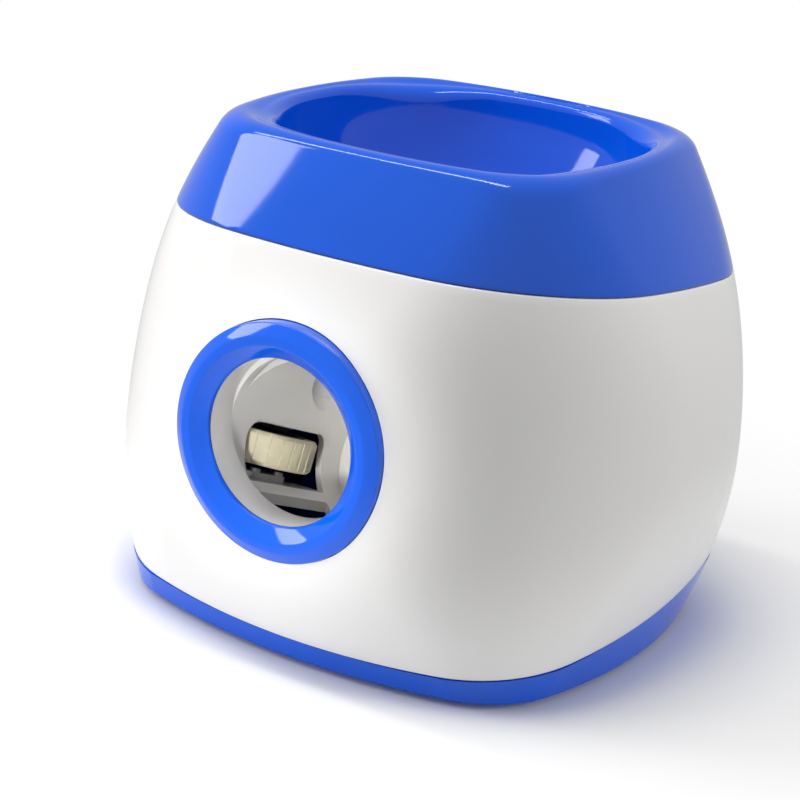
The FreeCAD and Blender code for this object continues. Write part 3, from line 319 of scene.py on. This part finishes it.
# %% The bowl's wall
BOWL = {
    "half_x": ((119, 29.2), (132, 46), (147, 57), (171, 66), (195.9, 69)),
    "half_y": ((119, 29.2), (132, 42), (147, 56), (171, 63), (195.9, 66)),
    "crown": ((119, 31.2), (132, 62), (147, 89.7), (171, 100), (195.9, 100)),
    "corner": ((119, 28.2), (132, 38), (147, 52.4), (171, 58), (195.9, 59.3)),
    "shift": ((119, -36.0), (132, -21.6), (147, -7.2), (171, 0), (195.9, 0)),
}
BOWL_FLOOR = 119


def bowl_curve(key, z):
    """A cubic through the bowl's sections that takes its slopes from the neighbours."""
    table = BOWL[key]
    z = min(max(z, table[0][0]), table[-1][0])
    for k, ((x0, y0), (x1, y1)) in enumerate(zip(table, table[1:])):
        if z <= x1:
            break
    before = table[max(k - 1, 0)]
    after = table[min(k + 2, len(table) - 1)]
    slope0 = (y1 - before[1]) / (x1 - before[0])
    slope1 = (after[1] - y0) / (after[0] - x0)
    width = x1 - x0
    s = (z - x0) / width
    return ((2 * s ** 3 - 3 * s ** 2 + 1) * y0 + (s ** 3 - 2 * s ** 2 + s) * slope0 * width
            + (3 * s ** 2 - 2 * s ** 3) * y1 + (s ** 3 - s ** 2) * slope1 * width)


def bowl_point(turn, z, grow=0.0, lift=0.0):
    """A point of the bowl's wall at height z, moved out by grow and up by lift."""
    half_x = bowl_curve("half_x", z)
    half_y = bowl_curve("half_y", z)
    crown = bowl_curve("crown", z)
    corner = bowl_curve("corner", z)
    radius = section_radius(turn, half_x + grow, half_y + grow, crown + grow, corner + grow)
    return Vector((radius * math.cos(turn), bowl_curve("shift", z) + radius * math.sin(turn), z + lift))


print("bowl is", round(bowl_point(0, RIM[0]).x * 2), "mm wide at the rim")

# %% [markdown]
# The rim of the cap rolls over from the outer wall to a nearly level crown, and a round lip leads
# down into the bowl. The rim is squarer than the bowl, so the crown is narrow at the sides and broad
# at the corners, and the roll and the lip grow with it. Each pair below is a size at the middle of a
# side and at a corner.

# %% The rolled rim
RIM_ROLL = (4.8, 14.0)
LIP_ROLL = (3.6, 9.0)
RIM_ROOM = (8.0, 26.0)
CROWN_DIP = (0.6, 2.6)
ROLL_START = math.radians(28)


def rim_share(turn):
    """How broad the rim is in a direction: 0 at the middle of a side, 1 at a corner."""
    wall = on_casing(turn, RIM)
    lip = bowl_point(turn, RIM[0])
    room = math.hypot(wall.x, wall.y) - math.hypot(lip.x, lip.y)
    return min(max((room - RIM_ROOM[0]) / (RIM_ROOM[1] - RIM_ROOM[0]), 0.0), 1.0)


def by_rim(sizes, turn):
    """A size between its value at a side and its value at a corner."""
    return sizes[0] + (sizes[1] - sizes[0]) * rim_share(turn)


def roll_start(turn):
    """Where the outer wall ends and the roll begins."""
    roll = by_rim(RIM_ROLL, turn)
    return on_casing(turn, (RIM[0] - roll * (1 - math.sin(ROLL_START)), RIM[1]))


def roll_point(turn, angle):
    """A point of the rolled rim; the roll starts square to the leaning wall and ends level."""
    roll = by_rim(RIM_ROLL, turn)
    wall = roll_start(turn)
    radius = math.hypot(wall.x, wall.y) + roll * (math.cos(angle) - math.cos(ROLL_START))
    z = wall.z + roll * (math.sin(angle) - math.sin(ROLL_START))
    return Vector((radius * math.cos(turn), radius * math.sin(turn), z))


def lip_point(turn, angle):
    """A point of the round lip between the crown of the rim and the bowl."""
    lip = by_rim(LIP_ROLL, turn)
    top = bowl_point(turn, RIM[0] - LIP_ROLL[1])
    radius = math.hypot(top.x, top.y) + lip
    rim_height = RIM[0] + RIM[1] * radius * math.sin(turn)
    z = rim_height - lip - by_rim(CROWN_DIP, turn)
    return Vector(((radius + lip * math.cos(angle)) * math.cos(turn),
                   (radius + lip * math.cos(angle)) * math.sin(turn), z + lip * math.sin(angle)))


def crown_point(turn, share):
    """Across the crown, from the roll's top to the lip's top, eased at both ends."""
    outer = roll_point(turn, math.pi / 2)
    inner = lip_point(turn, math.pi / 2)
    point = outer.lerp(inner, share)
    point.z = outer.z + (inner.z - outer.z) * (3 * share ** 2 - 2 * share ** 3)
    return point


print("roll has a radius of", round(by_rim(RIM_ROLL, math.pi / 4), 1), "mm at a corner")

# %% [markdown]
# The roll starts lower at a corner than at a side, so the outer wall ends at its own height in every
# direction. Where the lip ends, it isn't yet on the bowl's own wall. The difference fades out on the
# way down, quickly at first, which keeps the bowl's reflections free of a crease.

# %% The walls that meet the rim


def wall_up_to_roll(turn, low, share):
    """Up the outer wall, from the seam to where the roll begins."""
    last = roll_start(turn)
    radius = math.hypot(last.x, last.y)
    high = (last.z - RIM[1] * radius * math.sin(turn), RIM[1])
    return on_casing(turn, between(low, high, share))


def bowl_from_lip(turn, share):
    """Down the bowl's wall from the end of the lip to the outlet."""
    lip = lip_point(turn, math.pi)
    point = bowl_point(turn, lip.z + (BOWL_FLOOR - lip.z) * share)
    start = bowl_point(turn, lip.z)
    fade = (1 - share) ** 3
    point.x += (lip.x - start.x) * fade
    point.y += (lip.y - start.y) * fade
    return point


print("roll starts", round(roll_start(0).z, 1), "mm up at a side and",
      round(roll_start(math.pi / 4).z, 1), "mm up at a corner")

# %% [markdown]
# The cap is one moulding: an outer wall, the rolled rim, and the bowl with a short neck. Its rings
# run over the seam's edge and up the wall, over the roll, across the crown, round the lip and down
# the bowl to the neck. They then turn under and come back inside the wall, which is never seen and
# has few rings.

# %% The blue cap and its bowl
WALL_STEPS = 18
ROLL_STEPS = 12
CROWN_STEPS = 6
LIP_STEPS = 10
BOWL_STEPS = 30
UNDER_STEPS = 5
OUTLET_R = 28.0
OUTLET_Y = -36.0
NECK_TOP = 118.4
NECK_END = 111.0
NECK_FLARE = 1.13
UNDERSIDE = (121, 132, 147, 160)
UNDER_DROP = 14
UNDER_ROOM = 2
UNDER_RIM = (RIM[0] - UNDER_DROP, RIM[1])
CAP_SHARP = 40.0


def neck_point(turn, z, widening=1.0):
    """A point of the round neck below the bowl."""
    radius = widening * OUTLET_R
    return Vector((radius * math.cos(turn), OUTLET_Y + radius * math.sin(turn), z))


def cap():
    """The cap, from its seam over the rim and down to the neck."""
    low = (CAP_SEAM[0] + SEAM_GAP, CAP_SEAM[1])
    rings = [lambda turn: on_casing(turn, low, 0.0, WALL)]
    rings += reversed(rounded_edge(low, -1))
    for k in range(1, WALL_STEPS):
        rings.append(lambda turn, share=k / WALL_STEPS: wall_up_to_roll(turn, low, share))
    for k in range(ROLL_STEPS + 1):
        angle = ROLL_START + (math.pi / 2 - ROLL_START) * k / ROLL_STEPS
        rings.append(lambda turn, angle=angle: roll_point(turn, angle))
    for k in range(1, CROWN_STEPS):
        rings.append(lambda turn, share=k / CROWN_STEPS: crown_point(turn, share))
    for k in range(LIP_STEPS + 1):
        angle = math.radians(90 + 90 / LIP_STEPS * k)
        rings.append(lambda turn, angle=angle: lip_point(turn, angle))
    for k in range(1, BOWL_STEPS + 1):
        rings.append(lambda turn, share=k / BOWL_STEPS: bowl_from_lip(turn, share))
    rings.append(lambda turn: neck_point(turn, NECK_TOP))
    rings.append(lambda turn: neck_point(turn, NECK_END))
    rings.append(lambda turn: neck_point(turn, NECK_END, NECK_FLARE))
    for height in UNDERSIDE:
        rings.append(lambda turn, height=height: bowl_point(turn, height, WALL, -WALL))
    rings.append(lambda turn: on_casing(turn, UNDER_RIM, 0.0, WALL + UNDER_ROOM))
    rings += skin_rings(UNDER_RIM, low, UNDER_STEPS, WALL)
    piece = finished("hopper_cap", ringed_shell(rings), "casing", CAP_SHARP)
    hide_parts("hopper")
    return piece


hopper_cap = cap()

# %% [markdown]
# The port ring and the sleeve inside it are round, so each is spun from its profile. Every circle
# where two faces meet is then bevelled, so that each edge gives the fine bright line that a moulded
# edge has. The profile lies flat and is turned to face out of the drum's front.

# %% Spin a round piece
SPIN_STEPS = 192
CREASE = math.radians(12)
RING_SHARP = 40.0
RING_PLACE = Matrix.Translation(PORT * MM) @ FACING_OUT


def spun(name, profile, body, rounding):
    """Spin a closed profile of radius and depth pairs and round its edges."""
    bm = bmesh.new()
    verts = [bm.verts.new(Vector((r, 0.0, z)) * MM) for r, z in profile]
    edges = [bm.edges.new((a, b)) for a, b in zip(verts, verts[1:] + verts[:1])]
    bmesh.ops.spin(bm, geom=verts + edges, cent=(0, 0, 0), axis=(0, 0, 1), angle=math.tau,
                   steps=SPIN_STEPS, use_merge=True)
    bmesh.ops.remove_doubles(bm, verts=bm.verts, dist=1e-7)
    bmesh.ops.recalc_face_normals(bm, faces=bm.faces)
    corners = [e for e in bm.edges if len(e.link_faces) == 2 and e.calc_face_angle() > CREASE]
    bmesh.ops.bevel(bm, geom=corners, offset=rounding * MM, offset_type="OFFSET", segments=3,
                    profile=0.5, affect="EDGES", material=-1)
    bmesh.ops.transform(bm, matrix=RING_PLACE, verts=bm.verts)
    return finished(name, bm, body, RING_SHARP)


print("round pieces are spun in", SPIN_STEPS, "steps")

# %% [markdown]
# The ring is blue ABS, moulded with a chamfer outside, a flat crown, and a cone down to the bore.
# Depths count outwards from its seat on the wall, so the part that goes into the drum is below
# zero. Behind the bore it steps out and leaves room for the sleeve.

# %% The port ring
RING_BORE = 29.9
RING_PROUD = 5.4
RING_SKIRT = -8.0
COLLAR_END = -13.0
COLLAR_R = RING_OUTER - 4.0
CROWN_OUTER = RING_OUTER - 4.4
CROWN_INNER = RING_OUTER - 7.6
CONE_END = (RING_BORE + 0.6, 1.4)
BORE_TOP = 0.8
BORE_END = -0.6
SLEEVE_R = RING_BORE + 2.0
ring_profile = (
    (RING_OUTER, RING_SKIRT), (RING_OUTER, RING_PROUD / 2), (CROWN_OUTER, RING_PROUD),
    (CROWN_INNER, RING_PROUD), CONE_END, (RING_BORE, BORE_TOP), (RING_BORE, BORE_END),
    (SLEEVE_R, BORE_END), (SLEEVE_R, COLLAR_END), (COLLAR_R, COLLAR_END), (COLLAR_R, RING_SKIRT))
bezel = spun("port_bezel", ring_profile, "casing", 0.5)
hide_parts("port_ring")

# %% [markdown]
# Inside the ring the launching tube comes forward and ends as a light grey sleeve. It is a piece of
# its own here, because it takes another finish than the ring and the two meet at a clear line.

# %% The sleeve in the port
SLEEVE_BORE = RING_BORE + 0.3
SLEEVE_OUTER = SLEEVE_R - 0.05
SLEEVE_FRONT = -0.8
sleeve_profile = (
    (SLEEVE_BORE, SLEEVE_FRONT), (SLEEVE_OUTER, SLEEVE_FRONT),
    (SLEEVE_OUTER, COLLAR_END), (SLEEVE_BORE, COLLAR_END))
sleeve = spun("port_sleeve", sleeve_profile, "casing", 0.15)

# %% [markdown]
# Colours are written as the sRGB values that the eye knows, and one function turns them into the
# linear values that a shader works in. A second small function adds a node, its settings and its
# links in one call.

# %% Helpers for finishes


def linear(hex_colour):
    """An sRGB hex value as linear red, green, blue and a full alpha."""
    channels = [int(hex_colour[k:k + 2], 16) / 255 for k in (1, 3, 5)]
    return [c / 12.92 if c <= 0.04045 else ((c + 0.055) / 1.055) ** 2.4 for c in channels] + [1.0]


def add(tree, kind, settings=None, links=None):
    """Add a node; settings go to its own fields or sockets, links feed its sockets."""
    node = tree.nodes.new(kind)
    for key, value in (settings or {}).items():
        if isinstance(key, str) and hasattr(node, key):
            setattr(node, key, value)
        else:
            node.inputs[key].default_value = value
    for key, socket in (links or {}).items():
        tree.links.new(socket, node.inputs[key])
    return node


def new_finish(name):
    """An empty material and its object coordinates."""
    finish = bpy.data.materials.new(name)
    finish.use_nodes = True
    tree = finish.node_tree
    tree.nodes.clear()
    coords = add(tree, "ShaderNodeTexCoord").outputs["Object"]
    return finish, tree, coords


def mottled(tree, coords, dark, light, grain_mm):
    """Two near colours mixed by a noise whose lumps are grain_mm across."""
    noise = add(tree, "ShaderNodeTexNoise", {"Scale": 1.0 / (grain_mm * MM), "Detail": 3.0},
                {"Vector": coords})
    ramp = add(tree, "ShaderNodeValToRGB", links={"Fac": noise.outputs["Fac"]})
    ramp.color_ramp.elements[0].position = 0.3
    ramp.color_ramp.elements[1].position = 0.7
    ramp.color_ramp.elements[0].color = linear(dark)
    ramp.color_ramp.elements[1].color = linear(light)
    return ramp.outputs["Color"]


print("mid grey #808080 is", round(linear("#808080")[0], 3), "in linear light")

# %% [markdown]
# Injection moulded plastic copies its mould. Its colour is even, its surface has a faint ripple
# where it shrank, and its gloss varies a little where it was handled. A polished mould gives a
# sharp reflection, and a textured one a dull one. Real texture is about a tenth of a millimetre
# across; it is drawn at 0.6 mm, because finer grain is lost in the render. Plastics such as ABS,
# acetal and nylon have an index near 1.5, so one value serves them all.

# %% Moulded plastic
PLASTIC_IOR = 1.52
RIPPLE_DEPTH = 0.3
TEXTURE_MM = 0.6
TEXTURE_DEPTH = 0.05
SCUFF_MM = 14
GLOSS_SPREAD = (0.85, 1.25)
COAT_ROUGHNESS = 0.04


def plastic(name, dark, light, roughness, coat=0.0, ripple=0.02, ripple_mm=9.0, grain_mm=60.0, grain=0.0):
    """A moulded plastic: even colour, a faint ripple, and a fine texture if it has one."""
    finish, tree, coords = new_finish(name)
    colour = mottled(tree, coords, dark, light, grain_mm)
    wave = add(tree, "ShaderNodeTexNoise", {"Scale": 1.0 / (ripple_mm * MM), "Detail": 2.0},
               {"Vector": coords})
    bump = add(tree, "ShaderNodeBump", {"Strength": ripple, "Distance": RIPPLE_DEPTH * MM},
               {"Height": wave.outputs["Fac"]})
    normal = bump.outputs["Normal"]
    if grain:
        fine = add(tree, "ShaderNodeTexNoise", {"Scale": 1.0 / (TEXTURE_MM * MM), "Detail": 3.0},
                   {"Vector": coords})
        bump = add(tree, "ShaderNodeBump", {"Strength": grain, "Distance": TEXTURE_DEPTH * MM},
                   {"Height": fine.outputs["Fac"], "Normal": normal})
        normal = bump.outputs["Normal"]
    scuff = add(tree, "ShaderNodeTexNoise", {"Scale": 1.0 / (SCUFF_MM * MM), "Detail": 6.0, "Roughness": 0.7},
                {"Vector": coords})
    rough = add(tree, "ShaderNodeMapRange",
                {"To Min": roughness * GLOSS_SPREAD[0], "To Max": roughness * GLOSS_SPREAD[1]},
                {"Value": scuff.outputs["Fac"]})
    shader = add(tree, "ShaderNodeBsdfPrincipled",
                 {"IOR": PLASTIC_IOR, "Coat Weight": coat, "Coat Roughness": COAT_ROUGHNESS},
                 {"Base Color": colour, "Roughness": rough.outputs["Result"], "Normal": normal})
    add(tree, "ShaderNodeOutputMaterial", links={"Surface": shader.outputs["BSDF"]})
    return finish


# %% [markdown]
# Drawn or plated metal carries fine lines from the die or the roller. They run one way, so the
# noise is stretched along Z, and they show in the gloss more than in the colour. Real lines are
# some hundredths of a millimetre apart and are drawn at 0.4 mm, so that they show.

# %% Drawn and plated metal
BRUSH_MM = 0.4
BRUSH_STRETCH = 0.06
BRUSH_DEPTH = 0.03
BRUSH_SPREAD = (0.7, 1.4)
CLOUD_MM = 8.0


def metal(name, dark, light, roughness):
    """A metal with fine streaks in its gloss along one direction."""
    finish, tree, coords = new_finish(name)
    colour = mottled(tree, coords, dark, light, CLOUD_MM)
    stretch = add(tree, "ShaderNodeMapping", {"Scale": (1.0, 1.0, BRUSH_STRETCH)}, {"Vector": coords})
    streak = add(tree, "ShaderNodeTexNoise", {"Scale": 1.0 / (BRUSH_MM * MM), "Detail": 2.0},
                 {"Vector": stretch.outputs["Vector"]})
    rough = add(tree, "ShaderNodeMapRange",
                {"To Min": roughness * BRUSH_SPREAD[0], "To Max": roughness * BRUSH_SPREAD[1]},
                {"Value": streak.outputs["Fac"]})
    bump = add(tree, "ShaderNodeBump", {"Strength": 0.08, "Distance": BRUSH_DEPTH * MM},
               {"Height": streak.outputs["Fac"]})
    shader = add(tree, "ShaderNodeBsdfPrincipled", {"Metallic": 1.0},
                 {"Base Color": colour, "Roughness": rough.outputs["Result"],
                  "Normal": bump.outputs["Normal"]})
    add(tree, "ShaderNodeOutputMaterial", links={"Surface": shader.outputs["BSDF"]})
    return finish


# %% [markdown]
# The casing is ABS from a polished mould, so its reflections are sharp. The blue is deep and even.
# The white is neutral, and a thin clear coat stands for its extra gloss. The launching tube is a
# plainer grey white ABS with a satin mould, which softens what it mirrors.

# %% Finishes of the casing
FINISHES = {
    "blue_abs": plastic("polished_blue_abs", "#0056d6", "#035adc", 0.07, ripple=0.012),
    "white_abs": plastic("polished_white_abs", "#f0efed", "#f2f1ef", 0.09, coat=0.3, ripple=0.01),
    "inner_abs": plastic("moulded_grey_abs", "#dbd9d3", "#e1dfda", 0.2, coat=0.1, ripple=0.03,
                         ripple_mm=14.0),
}
print(len(FINISHES), "finishes of the casing")

# %% [markdown]
# The wheels' treads are cast urethane, cream and dull, so that they grip, and their hubs are moulded
# nylon, grey and satin. The gate and the larger gears are natural acetal, which is milky and waxy.
# The switches and the power inlet are black ABS from a textured mould. The board is green solder
# mask, which is a glossy lacquer. The feet are moulded rubber, which scatters nearly all light, and
# the lenses are milky polycarbonate from a polished mould.

# %% Finishes of the small plastic pieces
FINISHES.update({
    "cream_urethane": plastic("cast_urethane", "#d8cfb0", "#e3dbbf", 0.5, ripple=0.06, ripple_mm=5.0,
                              grain_mm=6.0, grain=0.3),
    "grey_nylon": plastic("moulded_grey_nylon", "#5c5e62", "#676a6e", 0.45, ripple=0.04, ripple_mm=6.0,
                          grain_mm=12.0, grain=0.2),
    "acetal": plastic("natural_acetal", "#e4e2da", "#eceae3", 0.35, ripple=0.03, ripple_mm=8.0,
                      grain_mm=20.0, grain=0.1),
    "black_abs": plastic("textured_black_abs", "#101012", "#17171a", 0.32, ripple=0.03, ripple_mm=6.0,
                         grain_mm=14.0, grain=0.25),
    "board_green": plastic("green_solder_mask", "#0d4f2c", "#11603a", 0.3, coat=0.2, ripple_mm=3.0,
                           grain_mm=5.0, grain=0.1),
    "rubber_grey": plastic("moulded_grey_rubber", "#232325", "#2b2b2e", 0.75, ripple=0.05, ripple_mm=3.0,
                           grain_mm=6.0, grain=0.4),
    "lens_clear": plastic("milky_polycarbonate", "#bfe6c6", "#d3f0d8", 0.12, coat=0.3),
})
print(len(FINISHES), "finishes so far")

# %% [markdown]
# The motors' cans are steel with bright nickel plating. The screws, shafts and plates are steel with
# duller, bluer zinc. The battery contacts, the pinion and the switch's lever have a nickel that is
# a little warmer. A metal's colour is its reflection, so each has its own tint and roughness.

# %% Finishes of the metal pieces
FINISHES.update({
    "motor_steel": metal("nickel_plated_steel", "#b9b7b2", "#cbc9c4", 0.25),
    "zinc_steel": metal("zinc_plated_steel", "#a6a9ad", "#bcbfc3", 0.35),
    "contact_nickel": metal("bright_nickel", "#c9c4b8", "#d8d3c8", 0.2),
})
print(len(FINISHES), "finishes in all")

# %% [markdown]
# Each piece of the frame names the slot that its finish comes from, so one loop dresses them all.
# The new skins take the same finishes as the pieces they stand for.

# %% Dress the machine


def dress(piece, slot):
    """Give a piece the one finish of its slot."""
    piece.data.materials.clear()
    piece.data.materials.append(FINISHES[slot])


node_slots = {row["node"]: row["material_slot"] for row in frame["record"]["subparts"]}
for node, holder in frame["nodes"].items():
    dress(holder, node_slots[node])
skins = ((drum_skin, "white_abs"), (hopper_cap, "blue_abs"), (bezel, "blue_abs"), (sleeve, "inner_abs"))
for piece, slot in skins:
    dress(piece, slot)
print(len(frame["nodes"]) + len(skins), "pieces dressed")

# %% [markdown]
# The machine stands on a pale floor. A floor with an edge would show a line against the white
# backdrop, so this one turns clear with distance, and only the soft shadow by the casing is left.

# %% The floor
FLOOR_R = 0.8
FADE_FROM = 0.1
FADE_TO = 0.34


def floor():
    """A pale round floor that thins out to the white backdrop at its edge."""
    bm = bmesh.new()
    bmesh.ops.create_circle(bm, cap_ends=True, segments=96, radius=FLOOR_R)
    mesh = bpy.data.meshes.new("floor")
    bm.to_mesh(mesh)
    bm.free()
    ground = bpy.data.objects.new("floor", mesh)
    bpy.context.scene.collection.objects.link(ground)
    finish, tree, coords = new_finish("pale_floor")
    reach = add(tree, "ShaderNodeVectorMath", {"operation": "LENGTH"}, {0: coords})
    fade = add(tree, "ShaderNodeMapRange",
               {"interpolation_type": "SMOOTHSTEP", "From Min": FADE_FROM, "From Max": FADE_TO},
               {"Value": reach.outputs["Value"]})
    pale = add(tree, "ShaderNodeBsdfPrincipled", {"Base Color": linear("#fbfbfb"), "Roughness": 0.8})
    open_air = add(tree, "ShaderNodeBsdfTransparent")
    mix = add(tree, "ShaderNodeMixShader",
              links={0: fade.outputs["Result"], 1: pale.outputs["BSDF"], 2: open_air.outputs["BSDF"]})
    add(tree, "ShaderNodeOutputMaterial", links={"Surface": mix.outputs["Shader"]})
    mesh.materials.append(finish)


floor()
print("floor is clear from", FADE_TO, "m outwards")

# %% [markdown]
# A gloss shows the whole room, so the world has three strengths. The camera sees white. A mirrored
# ray sees a softer grey, which keeps the blue deep, and the light that falls on things is weaker
# still, so that the lamps can shape them.

# %% The world
WHITE = (1, 1, 1, 1)


def world_light(strength, mirrored):
    """White to the camera, mirrored in reflections, and strength as the light that falls on things."""
    world = bpy.data.worlds.new("studio")
    bpy.context.scene.world = world
    world.use_nodes = True
    tree = world.node_tree
    tree.nodes.clear()
    path = add(tree, "ShaderNodeLightPath")
    soft = add(tree, "ShaderNodeBackground", {"Color": WHITE, "Strength": strength})
    room = add(tree, "ShaderNodeBackground", {"Color": WHITE, "Strength": mirrored})
    white = add(tree, "ShaderNodeBackground", {"Color": WHITE, "Strength": 1.0})
    inner = add(tree, "ShaderNodeMixShader",
                links={0: path.outputs["Is Glossy Ray"], 1: soft.outputs["Background"],
                       2: room.outputs["Background"]})
    outer = add(tree, "ShaderNodeMixShader",
                links={0: path.outputs["Is Camera Ray"], 1: inner.outputs["Shader"],
                       2: white.outputs["Background"]})
    add(tree, "ShaderNodeOutputWorld", links={"Surface": outer.outputs["Shader"]})
    print("world gives", strength, "to surfaces and", mirrored, "to reflections")


world_light(strength=0.31, mirrored=0.6)

# %% [markdown]
# Only two lamps are mirrored in the gloss: a softbox at the left, whose reflection lies on the cap,
# and a long strip above the left side. The others light the machine without a glint. One at the
# left brightens the drum, one above lights the rim and the bowl, one at the right and behind lifts
# the far edge, and a small narrow one shines into the port, which would otherwise be too dark.

# %% The lamps


def lamp(name, place, aim, size, power, size_y=None, mirrored=True, spread=180.0):
    """A soft rectangular lamp; one that isn't mirrored lights the machine without a glint."""
    light = bpy.data.lights.new(name, "AREA")
    light.shape = "RECTANGLE"
    light.size = size
    light.size_y = size_y or size
    light.energy = power
    light.spread = math.radians(spread)
    holder = bpy.data.objects.new(name, light)
    bpy.context.scene.collection.objects.link(holder)
    holder.location = place
    holder.rotation_mode = "QUATERNION"
    holder.rotation_quaternion = (Vector(aim) - Vector(place)).to_track_quat("-Z", "Y")
    holder.visible_glossy = mirrored
    print("lamp", name, "gives", power, "W")


lamp("softbox", (-0.84, -0.48, 0.62), (0, 0, 0.15), size=0.30, power=3.0, size_y=0.5)
lamp("strip", (-0.45, -0.22, 1.05), (-0.45, -0.22, 0.0), size=1.2, power=4.5, size_y=0.1)
lamp("left", (-0.95, -0.75, 0.25), (0, 0, 0.1), size=0.6, power=6.0, mirrored=False)
lamp("port", (0.16, -0.56, 0.14), (-0.005, -0.09, 0.08), size=0.05, power=0.02, mirrored=False,
     spread=14.0)
lamp("top", (0.0, -0.05, 1.1), (0, 0, 0.1), size=0.5, power=3.0, mirrored=False)
lamp("edge", (0.9, 0.35, 0.30), (0, 0, 0.1), size=0.4, power=2.8, mirrored=False)

# %% [markdown]
# The camera is the photograph's own, solved from the casing's outline. It stands at the right and
# above, looks down at the casing, and leans a little to one side. Its focal length was found in
# pixels of a picture 800 wide, and turns into millimetres on a 36 mm sensor.

# %% The camera
CAMERA_PLACE = Vector((380.09, -662.15, 321.94))
CAMERA_TURN = math.radians(30.887)
CAMERA_TILT = math.radians(17.833)
CAMERA_LEAN = math.radians(5.796)
FOCAL_PIXELS = 2073.56
PICTURE_PIXELS = 800


def photo_camera():
    """The camera at its solved place, turn, tilt and lean."""
    back = Vector((math.sin(CAMERA_TURN) * math.cos(CAMERA_TILT),
                   -math.cos(CAMERA_TURN) * math.cos(CAMERA_TILT), math.sin(CAMERA_TILT)))
    lens = bpy.data.cameras.new("camera")
    lens.sensor_width = 36.0
    lens.lens = FOCAL_PIXELS / PICTURE_PIXELS * lens.sensor_width
    holder = bpy.data.objects.new("camera", lens)
    bpy.context.scene.collection.objects.link(holder)
    holder.location = CAMERA_PLACE * MM
    holder.rotation_mode = "QUATERNION"
    level = (-back).to_track_quat("-Z", "Y")
    holder.rotation_quaternion = level @ Matrix.Rotation(CAMERA_LEAN, 3, "Z").to_quaternion()
    bpy.context.scene.camera = holder
    print("focal length", round(lens.lens, 1), "mm")


photo_camera()
bpy.context.scene.view_settings.view_transform = "Standard"
